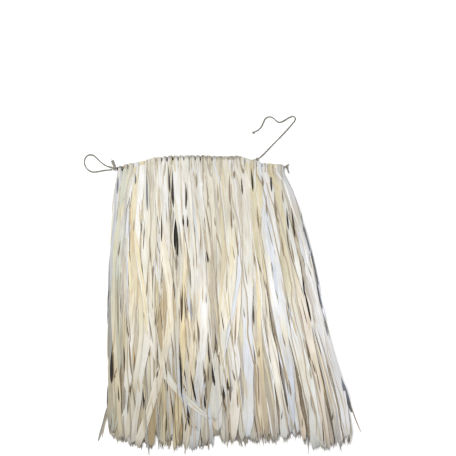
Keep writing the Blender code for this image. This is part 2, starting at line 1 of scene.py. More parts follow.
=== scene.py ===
# The looks of a grass skirt laid flat: thirty bundles of dried leaf strips folded
# over a twisted waist cord, the fastening loop at its left end and the long tie.
# Metres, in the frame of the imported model: +Y runs from the hem to the waist.

import math

import bpy
import numpy as np
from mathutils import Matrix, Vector


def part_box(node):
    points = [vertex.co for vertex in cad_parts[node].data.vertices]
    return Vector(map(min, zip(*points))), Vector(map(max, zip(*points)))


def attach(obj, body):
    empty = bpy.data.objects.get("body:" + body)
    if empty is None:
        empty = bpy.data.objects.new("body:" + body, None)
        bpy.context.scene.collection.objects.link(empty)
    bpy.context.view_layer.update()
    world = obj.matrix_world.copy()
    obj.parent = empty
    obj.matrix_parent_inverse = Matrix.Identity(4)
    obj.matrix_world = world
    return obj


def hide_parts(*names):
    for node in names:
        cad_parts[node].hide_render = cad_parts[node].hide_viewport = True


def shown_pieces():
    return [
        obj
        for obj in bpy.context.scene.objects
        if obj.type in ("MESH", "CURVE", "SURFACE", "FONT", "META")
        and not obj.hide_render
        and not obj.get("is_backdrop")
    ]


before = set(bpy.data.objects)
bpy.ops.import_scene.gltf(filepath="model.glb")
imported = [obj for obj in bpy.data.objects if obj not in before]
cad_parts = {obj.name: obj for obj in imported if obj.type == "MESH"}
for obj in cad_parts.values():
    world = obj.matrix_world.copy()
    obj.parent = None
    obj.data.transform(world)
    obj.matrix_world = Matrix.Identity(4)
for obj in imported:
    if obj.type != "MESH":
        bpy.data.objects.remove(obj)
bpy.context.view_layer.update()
print("stage 1: the packed skirt is loaded")


def between(low, high, share):
    return low + (high - low) * share


def smoothStep(share):
    share = np.clip(share, 0.0, 1.0)
    return share * share * (3.0 - 2.0 * share)


scatterWaves = (12.9898, 78.233, 37.719, 4375.85453)  # irregular, so that values don't repeat


def scatter(layer, number, salt):
    # a steady value from -1 to 1 that differs from strip to strip
    layerWave, numberWave, saltWave, stretch = scatterWaves
    value = stretch * math.sin(layerWave * (layer + 1) + numberWave * (number + 1) + saltWave * salt)
    return 2.0 * (value - math.floor(value)) - 1.0


def chance(layer, number, salt):
    return 0.5 + 0.5 * scatter(layer, number, salt)


def readRows(rows, place):
    # every column of a table at a place between two of its rows, on straight lines
    if rows[0][0] > rows[-1][0]:
        rows = rows[::-1]
    places, *columns = zip(*rows)
    return [np.interp(place, places, column) for column in columns]


def runningLength(points):
    # how far along a path each of its points lies
    return np.concatenate([[0.0], np.cumsum(np.linalg.norm(np.diff(points, axis=0), axis=1))])


routeParts = 12  # how finely the curve between two points of a route is drawn


def smoothRoute(route, step):
    # evenly spaced points on a smooth curve through a route's own points
    anchors = [Vector(point) for point in route]
    dense = []
    for index in range(len(anchors) - 1):
        before = anchors[max(index - 1, 0)]
        start, end = anchors[index], anchors[index + 1]
        after = anchors[min(index + 2, len(anchors) - 1)]
        for part in range(routeParts):
            t = part / routeParts
            dense.append(0.5 * (
                2.0 * start
                + (end - before) * t
                + (2.0 * before - 5.0 * start + 4.0 * end - after) * t**2
                + (3.0 * start - before - 3.0 * end + after) * t**3
            ))
    dense.append(anchors[-1])
    lengths = np.concatenate([[0.0], np.cumsum([(b - a).length for a, b in zip(dense, dense[1:])])])
    wanted = np.linspace(0.0, lengths[-1], max(2, round(lengths[-1] / step)) + 1)
    return np.stack([np.interp(wanted, lengths, [p[axis] for p in dense]) for axis in range(3)], axis=1)


cameraLook = {
    "middle": (0.0096, 0.1993),  # the place under the middle of the picture
    "span": 1.2162,  # metres across the picture at the heap's height
    "heapHeight": 0.012,
    "lens": 85.0,
    "sensor": 36.0,
}


def makeCamera(look):
    camera = bpy.data.objects.new("camera", bpy.data.cameras.new("camera"))
    camera.data.lens = look["lens"]
    camera.data.sensor_width = look["sensor"]
    away = look["span"] / 2.0 / (look["sensor"] / 2.0 / look["lens"])
    camera.location = (*look["middle"], look["heapHeight"] + away)
    bpy.context.scene.collection.objects.link(camera)
    bpy.context.scene.camera = camera


makeCamera(cameraLook)
print("stage 2: the camera looks straight down")


class Shade:
    # wraps a socket, so that sums on values are written as Python
    def __init__(self, finish, socket):
        self.finish = finish
        self.socket = socket

    def sum(self, operation, first, second):
        return self.finish.node("ShaderNodeMath", {"operation": operation}, {0: first, 1: second})

    def __add__(self, other):
        return self.sum("ADD", self, other)

    def __radd__(self, other):
        return self.sum("ADD", other, self)

    def __sub__(self, other):
        return self.sum("SUBTRACT", self, other)

    def __rsub__(self, other):
        return self.sum("SUBTRACT", other, self)

    def __mul__(self, other):
        return self.sum("MULTIPLY", self, other)

    def __rmul__(self, other):
        return self.sum("MULTIPLY", other, self)


class Finish:
    def __init__(self, name, constants):
        self.material = bpy.data.materials.new(name)
        self.material.use_nodes = True
        self.tree = self.material.node_tree
        self.shader = self.tree.nodes["Principled BSDF"]
        for socket, value in constants.items():
            self.shader.inputs[socket].default_value = value

    def node(self, kind, settings, sockets, output=0):
        made = self.tree.nodes.new(kind)
        for setting, value in settings.items():
            if setting == "stops":
                self.setStops(made.color_ramp, value)
            else:
                setattr(made, setting, value)
        for socket, value in sockets.items():
            if isinstance(value, Shade):
                self.tree.links.new(value.socket, made.inputs[socket])
            else:
                made.inputs[socket].default_value = value
        return Shade(self, made.outputs[output])

    def setStops(self, ramp, stops):
        while len(ramp.elements) < len(stops):
            ramp.elements.new(1.0)
        for element, (place, value) in zip(ramp.elements, stops):
            element.position = place
            element.color = (value, value, value, 1.0)

    def feed(self, socket, value):
        self.tree.links.new(value.socket, self.shader.inputs[socket])


def noise(finish, place, scale, detail, rough=0.5):
    stretched = finish.node("ShaderNodeVectorMath", {"operation": "MULTIPLY"}, {0: place, 1: scale})
    return finish.node(
        "ShaderNodeTexNoise", {}, {"Vector": stretched, "Scale": 1.0, "Detail": detail, "Roughness": rough}
    )


def ramp(finish, value, stops):
    return finish.node("ShaderNodeValToRGB", {"stops": stops}, {"Fac": value})


def mixColour(finish, share, first, second, blend="MIX"):
    return finish.node(
        "ShaderNodeMix", {"data_type": "RGBA", "blend_type": blend}, {0: share, 6: first, 7: second}, 2
    )


leafLook = {
    "roughness": 0.50,
    "roughnessSpread": 0.22,  # how much rougher a patch is
    "sheen": 0.06,
    "sheenRoughness": 0.4,
    "specular": 0.26,
    "bumpHeight": 0.00022,
    "bumpStrength": 0.6,
    "bumpFlecks": 0.3,
    # each mark's scale across, along and from strip to strip, its detail and fineness, the
    # noise at which it begins and is full, how strong it is, its tint and how that is mixed in
    "marks": {
        "vein": ((900.0, 5.0, 1.0), 4.0, 0.6, 0.50, 0.68, 0.34, (0.50, 0.42, 0.30, 1.0), "MULTIPLY"),
        "patch": ((70.0, 20.0, 1.0), 3.0, 0.5, 0.42, 0.70, 0.30, (0.68, 0.61, 0.48, 1.0), "MULTIPLY"),
        "streak": ((230.0, 14.0, 1.0), 3.0, 0.5, 0.58, 0.72, 0.55, (0.62, 0.47, 0.27, 1.0), "MULTIPLY"),
        "fleck": ((420.0, 60.0, 1.0), 2.0, 0.5, 0.66, 0.74, 0.25, (0.50, 0.42, 0.30, 1.0), "MIX"),
    },
}


def softFinish(name, look):
    finish = Finish(name, {
        "Sheen Weight": look["sheen"],
        "Sheen Roughness": look["sheenRoughness"],
        "Specular IOR Level": look["specular"],
    })
    return finish, finish.node("ShaderNodeAttribute", {"attribute_name": "leafPlace"}, {}, "Vector")


def feedBump(finish, height, look):
    finish.feed("Normal", finish.node("ShaderNodeBump", {}, {
        "Strength": look["bumpStrength"], "Distance": look["bumpHeight"], "Height": height,
    }))


def makeLeaf(name, look):
    leaf, place = softFinish(name, look)
    colour = leaf.node("ShaderNodeAttribute", {"attribute_name": "leafTone"}, {}, "Color")
    masks = {}
    for kind, (scale, detail, fineness, begins, full, strength, tint, blend) in look["marks"].items():
        masks[kind] = ramp(leaf, noise(leaf, place, scale, detail, fineness), [(begins, 0.0), (full, 1.0)])
        colour = mixColour(leaf, masks[kind] * strength, colour, tint, blend)
    leaf.feed("Base Color", colour)
    leaf.feed("Roughness", masks["patch"] * look["roughnessSpread"] + look["roughness"])
    veins = noise(leaf, place, look["marks"]["vein"][0], 2.0)
    feedBump(leaf, veins + masks["fleck"] * look["bumpFlecks"], look)
    return leaf.material


cordLook = {
    "roughness": 0.78,
    "roughnessSpread": 0.2,
    "sheen": 0.2,
    "sheenRoughness": 0.5,
    "specular": 0.25,
    "tones": ((0.28, 0.26, 0.22, 1.0), (0.10, 0.092, 0.075, 1.0)),
    "fibreScale": (2400.0, 160.0, 1.0),
    "stainScale": (1.0, 34.0, 1.0),
    "stainShare": 0.45,
    "toneEnds": (0.38, 0.62),
    "bumpHeight": 0.0003,
    "bumpStrength": 0.8,
}
knotLook = {**cordLook, "tones": ((0.38, 0.36, 0.31, 1.0), (0.15, 0.138, 0.115, 1.0))}


def makeFibre(name, look):
    fibre, place = softFinish(name, look)
    hair = noise(fibre, place, look["fibreScale"], 3.0)
    stain = noise(fibre, place, look["stainScale"], 3.0)
    begins, full = look["toneEnds"]
    mixed = hair * (1.0 - look["stainShare"]) + stain * look["stainShare"]
    share = ramp(fibre, mixed, [(begins, 0.0), (full, 1.0)])
    fibre.feed("Base Color", mixColour(fibre, share, *look["tones"]))
    spread = look["roughnessSpread"]
    fibre.feed("Roughness", hair * spread + look["roughness"] - spread / 2.0)
    feedBump(fibre, hair, look)
    return fibre.material


leafMaterial = makeLeaf("driedLeaf", leafLook)
cordFibre = makeFibre("cordFibre", cordLook)
knotFibre = makeFibre("knotFibre", knotLook)
print("stage 3: the leaf and cord finishes are made")


waist = {
    "bundles": 30,
    "left": -0.288,
    "right": 0.158,
    "top": 0.392,
    "headRadius": 0.005525,
    "cordRadius": 0.0018,
    "cordEnd": 0.0015,
    "headBelowCord": 0.021,
    # share of the way along, and how far the waist line drops there
    "line": (
        (0.0, 0.031), (0.07, 0.023), (0.15, 0.017), (0.22, 0.007), (0.32, 0.002), (0.5, 0.001),
        (0.64, 0.004), (0.73, 0.002), (0.82, 0.015), (0.88, 0.022), (0.95, 0.024), (1.0, 0.0265),
    ),
}
cordHeight = waist["headRadius"]


def waistX(share):
    return between(waist["left"], waist["right"], share)


def waistY(share):
    return waist["top"] - waist["headRadius"] - readRows(waist["line"], share)[0]


knots = {
    "gap": 0.0003,
    "loopRadius": 0.0062,
    "endRadius": 0.0052,
    "tieRadius": 0.0052,
    "tailRadius": 0.0038,
    "coilPoints": 61,
    "coilShare": 0.72,  # the coil's radius and its cord's, of the knot's
    "cordShare": 0.40,
    "coilRise": 0.55,  # the coil's height, of its radius
    "endPoints": 14,
}
endKnotX = waist["right"] + waist["cordEnd"] + knots["endRadius"] + knots["gap"]
endKnotPlace = Vector((endKnotX, waistY(1.0), cordHeight))


def boxMiddle(node):
    low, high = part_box(node)
    return (low + high) / 2.0


shift = boxMiddle("end_knot") - endKnotPlace  # from the tables' own places to the frame
print("the tables' places are shifted by", [round(value, 5) for value in shift])

# how far the lowest corners of each kind stay above the floor
lowest = {"leaf": 0.0001, "fibre": 0.0004, "tip": 0.0011, "wrap": 0.00005}

cords = {
    "radius": 0.0018,
    "swell": 1.22,  # slack plies stand out from the cord's own radius
    "plyShare": 0.60,  # a ply's radius, of the cord's
    "plies": 2,
    "turn": 0.0085,  # metres of cord to one turn of the twist
    "step": 0.0009,
    "sides": 7,
    "wander": (0.35, 90.0),  # how far the twist is uneven, and how often
    "lumps": (0.10, 310.0),  # the same of a ply's thickness, in short waves
    "swellings": (0.16, 83.0),  # and in long ones
    "tone": 0.4,
    "fibreLength": (0.003, 0.007),
    "fibreRadius": 0.00018,
    "fibreTone": 0.45,
    "fibreStance": (0.6, 0.22, 0.2),  # how far out a fibre begins, of the radius, its rise and its arch
    "brushFibres": 16,
    "brushLength": (0.004, 0.003),  # at least, and how much more
    "brushSpread": (0.6, 0.8),  # where its fibres begin, and how far they part
    "brushRadius": 0.0002,
}
lying = 0.0019  # the height of a cord's middle where it lies on the floor
loopRoute = (
    (-0.3022, 0.3526, 0.005), (-0.31, 0.3514, 0.003), (-0.3195, 0.3506, lying), (-0.329, 0.3492, lying),
    (-0.3375, 0.3476, lying), (-0.346, 0.3462, lying), (-0.355, 0.3462, lying), (-0.364, 0.35, lying),
    (-0.3715, 0.3575, lying), (-0.3758, 0.367, lying), (-0.3758, 0.377, lying), (-0.372, 0.386, lying),
    (-0.364, 0.3915, lying), (-0.3545, 0.3912, lying), (-0.346, 0.386, lying), (-0.339, 0.379, lying),
    (-0.3315, 0.372, lying), (-0.3235, 0.3657, lying), (-0.316, 0.3617, 0.0022), (-0.309, 0.3595, 0.0034),
    (-0.3022, 0.3583, 0.005),
)
tailRoute = (
    (0.0916, 0.3839, 0.0048), (0.0985, 0.3889, 0.003), (0.1065, 0.3965, lying), (0.116, 0.4065, lying),
    (0.1265, 0.4175, lying), (0.14, 0.431, lying), (0.154, 0.4455, lying), (0.167, 0.4595, lying),
    (0.179, 0.4735, lying), (0.1865, 0.483, lying), (0.188, 0.4905, lying), (0.182, 0.495, lying),
    (0.1735, 0.4925, lying), (0.164, 0.487, lying), (0.154, 0.481, lying), (0.144, 0.479, lying),
    (0.136, 0.484, lying), (0.1275, 0.4915, lying), (0.117, 0.4935, lying), (0.1085, 0.489, lying),
    (0.1035, 0.48, lying), (0.0985, 0.469, lying), (0.09, 0.459, lying), (0.08, 0.4535, lying),
)


class Builder:
    # gathers the corners and faces of one piece, with each corner's place on its strip and its tone
    def __init__(self):
        self.corners = []
        self.faces = []
        self.places = []
        self.tones = []

    def addGrid(self, grid, across, along, strip, tone, capped=True):
        # rows of corners that close into rings, their places across and along the strip, the
        # strip's own number and its tone
        rows, columns = grid.shape[:2]
        first = len(self.corners)
        self.corners.extend(grid.reshape(-1, 3).tolist())
        places = [np.broadcast_to(place, (rows, columns)) for place in (across, along, strip)]
        self.places.extend(np.stack(places, axis=2).reshape(-1, 3).tolist())
        self.tones.extend(np.broadcast_to(tone, grid.shape).reshape(-1, 3).tolist())
        for row in range(rows - 1):
            for column in range(columns):
                a = first + row * columns + column
                b = first + row * columns + (column + 1) % columns
                self.faces.append((a, b, b + columns, a + columns))
        if capped:
            self.faces.append(tuple(first + column for column in reversed(range(columns))))
            self.faces.append(tuple(first + (rows - 1) * columns + column for column in range(columns)))

    def finish(self, name, material, slot, crisp=0.0):
        mesh = bpy.data.meshes.new(name)
        mesh.from_pydata([tuple(corner) for corner in self.corners], [], self.faces)
        mesh.update()
        mesh.shade_smooth()
        if crisp:
            mesh.set_sharp_from_angle(angle=math.radians(crisp))
        place = mesh.attributes.new("leafPlace", "FLOAT_VECTOR", "POINT")
        place.data.foreach_set("vector", np.array(self.places, np.float32).ravel())
        tone = mesh.attributes.new("leafTone", "FLOAT_COLOR", "POINT")
        full = np.ones((len(self.tones), 4), np.float32)
        full[:, :3] = self.tones
        tone.data.foreach_set("color", full.ravel())
        mesh.materials.append(material)
        piece = bpy.data.objects.new(name, mesh)
        bpy.context.scene.collection.objects.link(piece)
        return piece


def pathFrame(points):
    # the direction along a path and two directions across it
    along = np.gradient(points, axis=0)
    along /= np.linalg.norm(along, axis=1)[:, None]
    side = np.cross(along, np.array([0.0, 0.0, 1.0]))
    side /= np.linalg.norm(side, axis=1)[:, None]
    return along, side, np.cross(side, along)


def circle(count):
    return 2.0 * math.pi * np.arange(count) / count


def ringRound(side, lift, turns):
    return side[:, None, :] * np.cos(turns)[None, :, None] + lift[:, None, :] * np.sin(turns)[None, :, None]


def addTwist(builder, points, radius, seed):
    # plies wound round each other along a path
    lengths = runningLength(points)
    side, lift = pathFrame(points)[1:]
    plyRadius = radius * cords["plyShare"]
    turns = circle(cords["sides"])
    wander, wanderWaves = cords["wander"]
    lump, lumpWaves = cords["lumps"]
    swelling, swellingWaves = cords["swellings"]
    for ply in range(cords["plies"]):
        drift = wander * np.sin(lengths * wanderWaves + seed + 2.0 * ply)
        turn = 2.0 * math.pi * (lengths / cords["turn"] + ply / cords["plies"]) + drift
        out = side * np.cos(turn)[:, None] + lift * np.sin(turn)[:, None]
        middle = points + out * (radius - plyRadius)
        uneven = lump * np.sin(lengths * lumpWaves + 5.0 * ply + seed)
        uneven = uneven + swelling * np.sin(lengths * swellingWaves + 2.0 * seed)
        own = plyRadius * (1.0 + uneven)
        grid = middle[:, None, :] + ringRound(side, lift, turns) * own[:, None, None]
        grid[:, :, 2] = np.maximum(grid[:, :, 2], lowest["leaf"])
        across = turns * plyRadius + 0.6 * turn[:, None] * plyRadius
        builder.addGrid(grid, across, lengths[:, None], seed * 7.0 + ply * 3.0, cords["tone"])


def addThread(builder, line, radius, seed, low, tone):
    # one thin fibre, kept above a lowest height
    line[:, 2] = np.maximum(line[:, 2], low)
    side, lift = pathFrame(line)[1:]
    turns = circle(3)
    thin = np.linspace(1.0, 0.4, len(line))
    grid = line[:, None, :] + ringRound(side, lift, turns) * (radius * thin)[:, None, None]
    along = np.linspace(0.0, 0.02, len(line))[:, None]
    builder.addGrid(grid, turns * radius, along, seed, tone)


hairSteps = np.array([0.0, 0.3, 0.6, 1.0])[:, None]  # the points along a loose fibre
frayedSteps = np.array([0.0, 0.35, 0.7, 1.0])[:, None]  # and along one of a frayed end


def addHairs(builder, points, radius, count, seed):
    # short loose fibres that stand off a cord
    along, side, lift = pathFrame(points)
    begins, rise, arch = cords["fibreStance"]
    for hair in range(count):
        index = int(chance(hair, seed, 1) * (len(points) - 3)) + 1
        turn = math.pi * chance(hair, seed, 2)
        out = side[index] * math.cos(turn) + lift[index] * math.sin(turn)
        lean = along[index] * scatter(hair, seed, 3)
        length = between(*cords["fibreLength"], chance(hair, seed, 4))
        line = points[index] + out * radius * begins + (out * rise + lean) * length * hairSteps
        line = line + out * arch * length * hairSteps * (1.0 - hairSteps)
        addThread(builder, line, cords["fibreRadius"], seed + hair, lowest["fibre"], cords["fibreTone"])


def addBrush(builder, start, heading, spread):
    # the frayed end of a cord
    (least, more), (begins, parts) = cords["brushLength"], cords["brushSpread"]
    for hair in range(cords["brushFibres"]):
        side = np.array([scatter(hair, 3, 1), scatter(hair, 3, 2), 0.6 * scatter(hair, 3, 3)]) * spread
        reach = least + more * chance(hair, 3, 4)
        line = start + side * begins * frayedSteps + heading * reach * (frayedSteps - 0.4)
        line = line + side * parts * frayedSteps * frayedSteps
        addThread(builder, line, cords["brushRadius"], hair, lowest["fibre"], cords["fibreTone"])


def waistCordPoints():
    shares = [step / waist["bundles"] for step in range(waist["bundles"] + 1)]
    points = [(waistX(share), waistY(share), cordHeight) for share in shares]
    first = (waist["left"] - waist["cordEnd"], waistY(0.0), cordHeight)
    last = (waist["right"] + waist["cordEnd"], waistY(1.0), cordHeight)
    return [first, *points, last]


def makeCord(name, route, radius, seed, node, hairs):
    builder = Builder()
    points = smoothRoute(route, cords["step"]) + np.array(shift)
    addTwist(builder, points, radius * cords["swell"], seed)
    addHairs(builder, points, radius, hairs, seed)
    piece = builder.finish(name, cordFibre, "cord_fibre")
    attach(piece, "root")
    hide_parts(node)
    return piece, points


def knotTurns(place, radius, tilt):
    # the path of a cord drawn into an overhand knot, as a small three-lobed coil
    turns = np.linspace(0.0, 2.0 * math.pi, knots["coilPoints"])
    x = (np.sin(turns) + 2.0 * np.sin(2.0 * turns)) / 3.0
    y = (np.cos(turns) - 2.0 * np.cos(2.0 * turns)) / 3.0
    z = -np.sin(3.0 * turns)
    spun = np.stack([
        x * math.cos(tilt) - y * math.sin(tilt),
        x * math.sin(tilt) + y * math.cos(tilt),
        knots["coilRise"] * z,
    ], axis=1)
    return place + spun * radius


def makeKnot(name, place, radius, tilt, node, ends):
    # ends: where each loose end starts from the knot's middle, its heading, length and radius
    builder = Builder()
    middle = np.array(place) + np.array(shift)
    coil = knotTurns(middle, radius * knots["coilShare"], tilt)
    addTwist(builder, coil, radius * knots["cordShare"], 3.0 + tilt)
    for start, heading, length, thick in ends:
        steps = np.linspace(0.0, 1.0, knots["endPoints"])[:, None]
        path = middle + np.array(start) + np.array(heading) * length * steps
        addTwist(builder, path, thick, 9.0 + length)
        addBrush(builder, path[-1], np.array(heading), thick)
    piece = builder.finish(name, knotFibre, "cord_fibre")
    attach(piece, "root")
    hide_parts(node)
    return piece


waistCord, _ = makeCord("waistCord", waistCordPoints(), waist["cordRadius"], 1, "waist_cord", 70)
loopCord, loopPoints = makeCord("fasteningLoop", loopRoute, cords["radius"], 2, "tie_loop", 90)
tailCord, tailPoints = makeCord("longTie", tailRoute, cords["radius"], 3, "tie_tail", 130)

loopKnotX = waist["left"] - waist["cordEnd"] - knots["gap"] - knots["loopRadius"]
loopKnotPlace = Vector((loopKnotX, waistY(0.0), cordHeight))
tieKnotPlace = boxMiddle("tie_knot") - shift
tailKnotPlace = boxMiddle("tail_knot") - shift
makeKnot("loopKnot", loopKnotPlace, knots["loopRadius"], 0.5, "loop_knot", (
    ((0.0015, 0.003, 0.0), (-0.36, 0.93, 0.02), 0.019, 0.0048),
    ((0.0020, 0.0010, 0.0050), (0.98, 0.16, 0.14), 0.016, 0.0017),
))
makeKnot("tieKnot", tieKnotPlace, knots["tieRadius"], 1.9, "tie_knot", (
    ((-0.003, -0.001, 0.0), (-0.90, -0.12, -0.20), 0.008, 0.0014),
))
makeKnot("endKnot", endKnotPlace, knots["endRadius"], 2.7, "end_knot", (
    ((0.001, -0.002, 0.0), (0.30, -0.92, -0.15), 0.014, 0.0028),
    ((0.001, 0.001, 0.001), (0.55, 0.80, -0.10), 0.006, 0.0020),
))
tailKnot = makeKnot("tailKnot", tailKnotPlace, knots["tailRadius"], 0.9, "tail_knot", (
    ((-0.001, 0.0, 0.0), (-0.9, 0.35, -0.05), 0.003, 0.0012),
))


def pathLength(points):
    return float(runningLength(points)[-1])


print("stage 4: the cords and knots are made; the tie is", round(pathLength(tailPoints), 3), "m long")


tones = {
    "white": (0.90, 0.89, 0.86),
    "bluish": (0.80, 0.83, 0.88),
    "ivory": (0.84, 0.82, 0.74),
    "cream": (0.82, 0.78, 0.66),
    "peach": (0.79, 0.71, 0.60),
    "golden": (0.77, 0.70, 0.50),
    "tan": (0.60, 0.53, 0.41),
    "straw": (0.62, 0.50, 0.31),
    "amber": (0.52, 0.39, 0.20),
    "brown": (0.30, 0.23, 0.15),
    "grey": (0.46, 0.46, 0.45),
    # dark blue-grey: painted shade along the side edges and in a few openings
    "slate": (0.16, 0.17, 0.19),
    "greenish": (0.68, 0.70, 0.60),
    "chalk": (0.84, 0.84, 0.79),
    "silver": (0.66, 0.67, 0.68),
    # near-black: painted shadow in the openings and the darkest slivers
    "deep": (0.022, 0.017, 0.012),
}
# Painted light and shade on the leaf, brightest about the middle, darker towards the hem; warmer at the
# left, cooler at the right:
# height, how bright and how warm it is at the left, how bright and how cool at the right
paintedLightAndTint = (
    (0.37, 0.8, 0.0, 0.77, 0.0), (0.3, 0.88, 0.0, 0.83, 0.0), (0.2, 0.94, 0.0, 0.9, 0.1),
    (0.0, 0.95, 0.55, 1.15, 1.0), (-0.12, 0.85, 0.85, 1.14, 0.8), (-0.25, 0.69, 1.0, 1.02, 0.55),
    (-0.4, 0.67, 0.7, 0.87, 0.4),
)
warmth = (0.0, -0.026, -0.110)  # what full warmth adds to red, green and blue
coolness = (0.0, 0.025, 0.110)

# the skirt's two side edges: height, left, right
edges = (
    (0.3, -0.295, 0.176), (0.2, -0.301, 0.209), (0.1, -0.306, 0.235), (0.0, -0.312, 0.256),
    (-0.1, -0.311, 0.278), (-0.2, -0.311, 0.306), (-0.3, -0.31, 0.331), (-0.4, -0.308, 0.349),
)

# how far the cut ends lie above the mean hem, from the left edge to the right
hemLine = (
    (0.0, 0.036), (0.02, 0.026), (0.05, 0.01), (0.08, 0.003), (0.15, -0.003), (0.175, 0.002), (0.18, 0.016),
    (0.2, 0.016), (0.205, 0.0), (0.3, -0.007), (0.4, -0.003), (0.42, 0.002), (0.425, 0.028), (0.46, 0.028),
    (0.465, 0.004), (0.55, 0.006), (0.63, 0.009), (0.69, 0.012), (0.735, 0.004), (0.74, 0.028),
    (0.775, 0.026), (0.78, 0.0), (0.8, -0.003), (0.9, -0.008), (0.96, 0.0), (1.0, 0.01),
)

strips = {
    "firstRow": 0.300,
    "lastRow": -0.400,
    "hem": -0.374,
    "hemSpread": 0.016,
    "endsAbove": 0.006,  # above the hem, where a wide strip ends on average
    "endSpread": 1.15,  # how far it may end from there, of hemSpread
    "widthSpread": 0.50,
    "ownDrift": 0.30,
    "thickness": 0.00035,
    "clearance": 0.0003,  # between a strip and what carries it
    "station": 0.016,  # metres between cross-sections
    "endStations": (0.019, 0.011, 0.005, 0.0015, 0.0),  # the last ones, above the cut end
    "headHalf": 0.0074,  # half the width of a strip where it leaves its head
    "headSpread": (0.85, 1.08),  # how that varies
    # a strip counts as this wide at least, and no head is wider than so many times that
    "headLimit": (0.0045, 1.25),
    "widensOver": 0.07,  # metres below its head in which a strip gets its own width
    "settlesOver": 0.075,  # and in which it comes down on the heap
    "swaysOver": 0.12,  # and in which it begins to sway
    "bodyMargins": (0.010, 0.030),  # metres at its head and its end without even stations
    "secondSway": (0.35, 2.7),  # a smaller sway: its share, and how much shorter its waves are
    "edgeRipple": (0.08, 41.0),  # how a strip's width varies: its share, and the waves
    "keptInside": 0.3,  # the share of half its width that stays inside the side edges
    "pinchMargin": 0.08,  # metres from its head and its end where a strip doesn't turn over
    "steepest": 0.30,  # how far a strip may tilt sideways, as rise over run
    "crisp": 40.0,  # degrees from which a bend in the leaf shows as an edge
    "narrowOpening": 0.0095,
    "pressedFrom": 0.014,  # the weight of the heap presses what would lie higher
    "pressedShare": 0.50,
    "partingLayer": 4,  # the lowest layer that swings aside at a wide opening
}
# half the width of each bundle's loops round the cord: the gaps that show between them
loopHalves = (
    0.004, 0.0046, 0.0062, 0.007, 0.0074, 0.0071, 0.0066, 0.0062, 0.0048, 0.005,
    0.005, 0.0057, 0.0054, 0.0066, 0.005, 0.006, 0.0062, 0.0056, 0.0072, 0.0063,
    0.0073, 0.0066, 0.0062, 0.0073, 0.007, 0.006, 0.0073, 0.0068, 0.0072, 0.0064,
)
crownShades = (0.93, 0.62)  # how much darker the folds' tops over the cord are painted: a little, and more in crownBundles
crownBundles = (8, 22)

# width, lean, ripple, waves and phase of each layer that has a strip from every bundle
fullLayers = (
    (0.0155, 0.03, 0.01, 3.0, 0.4),
    (0.015, -0.045, 0.012, 4.0, 1.9),
    (0.015, 0.05, 0.012, 2.0, 3.1),
    (0.015, -0.03, 0.014, 5.0, 0.9),
    (0.0145, 0.04, 0.012, 3.0, 4.4),
    (0.014, -0.035, 0.013, 4.0, 2.6),
)

# bundle, middle line at four heights, width, end, and the tones of its upper and lower half
topHeights = (0.150, -0.050, -0.220, -0.370)
evenStrips = (
    (2, -0.279, -0.246, -0.219, -0.206, 0.015, -0.377, "golden", "peach"),
    (4, -0.192, -0.148, -0.115, -0.094, 0.018, -0.386, "bluish", "ivory"),
    (6, -0.171, -0.127, -0.094, -0.071, 0.013, -0.38, "white", "cream"),
    (8, -0.149, -0.107, -0.076, -0.054, 0.012, -0.372, "ivory", "cream"),
    (10, -0.118, -0.084, -0.057, -0.036, 0.013, -0.383, "bluish", "bluish"),
    (12, -0.093, -0.064, -0.039, -0.018, 0.014, -0.37, "white", "cream"),
    (14, -0.067, -0.043, -0.019, 0.003, 0.016, -0.379, "ivory", "ivory"),
    (16, -0.04, -0.022, 0.004, 0.026, 0.014, -0.368, "cream", "white"),
    (18, -0.012, 0.004, 0.029, 0.05, 0.016, -0.374, "cream", "ivory"),
    (20, 0.016, 0.035, 0.058, 0.076, 0.017, -0.376, "cream", "cream"),
    (22, 0.045, 0.064, 0.087, 0.103, 0.014, -0.366, "ivory", "peach"),
    (24, 0.073, 0.096, 0.117, 0.135, 0.018, -0.378, "ivory", "tan"),
    (26, 0.108, 0.138, 0.169, 0.19, 0.018, -0.384, "bluish", "bluish"),
    (28, 0.146, 0.19, 0.229, 0.26, 0.015, -0.38, "golden", "chalk"),
    (30, 0.208, 0.252, 0.304, 0.329, 0.019, -0.362, "silver", "bluish"),
)
oddStrips = (
    (1, -0.298, -0.306, -0.304, -0.318, 0.01, -0.366, "silver", "grey"),
    (3, -0.281, -0.287, -0.283, -0.3, 0.013, -0.378, "ivory", "greenish"),
    (5, -0.238, -0.249, -0.259, -0.276, 0.016, -0.372, "golden", "white"),
    (7, -0.196, -0.206, -0.229, -0.251, 0.021, -0.384, "cream", "white"),
    (9, -0.155, -0.166, -0.179, -0.196, 0.017, -0.389, "white", "straw"),
    (11, -0.111, -0.112, -0.119, -0.131, 0.015, -0.388, "white", "golden"),
    (13, -0.087, -0.081, -0.092, -0.104, 0.014, -0.393, "ivory", "cream"),
    (15, -0.06, -0.057, -0.068, -0.081, 0.018, -0.39, "white", "bluish"),
    (17, -0.031, -0.034, -0.042, -0.052, 0.013, -0.378, "cream", "tan"),
    (19, -0.002, -0.008, -0.01, -0.017, 0.014, -0.369, "golden", "white"),
    (21, 0.034, 0.029, 0.028, 0.023, 0.022, -0.38, "cream", "white"),
    (23, 0.063, 0.06, 0.064, 0.061, 0.022, -0.367, "ivory", "bluish"),
    (25, 0.089, 0.114, 0.142, 0.159, 0.016, -0.371, "golden", "chalk"),
    (27, 0.12, 0.17, 0.215, 0.241, 0.021, -0.388, "bluish", "ivory"),
    (29, 0.16, 0.218, 0.249, 0.271, 0.016, -0.386, "golden", "peach"),
)
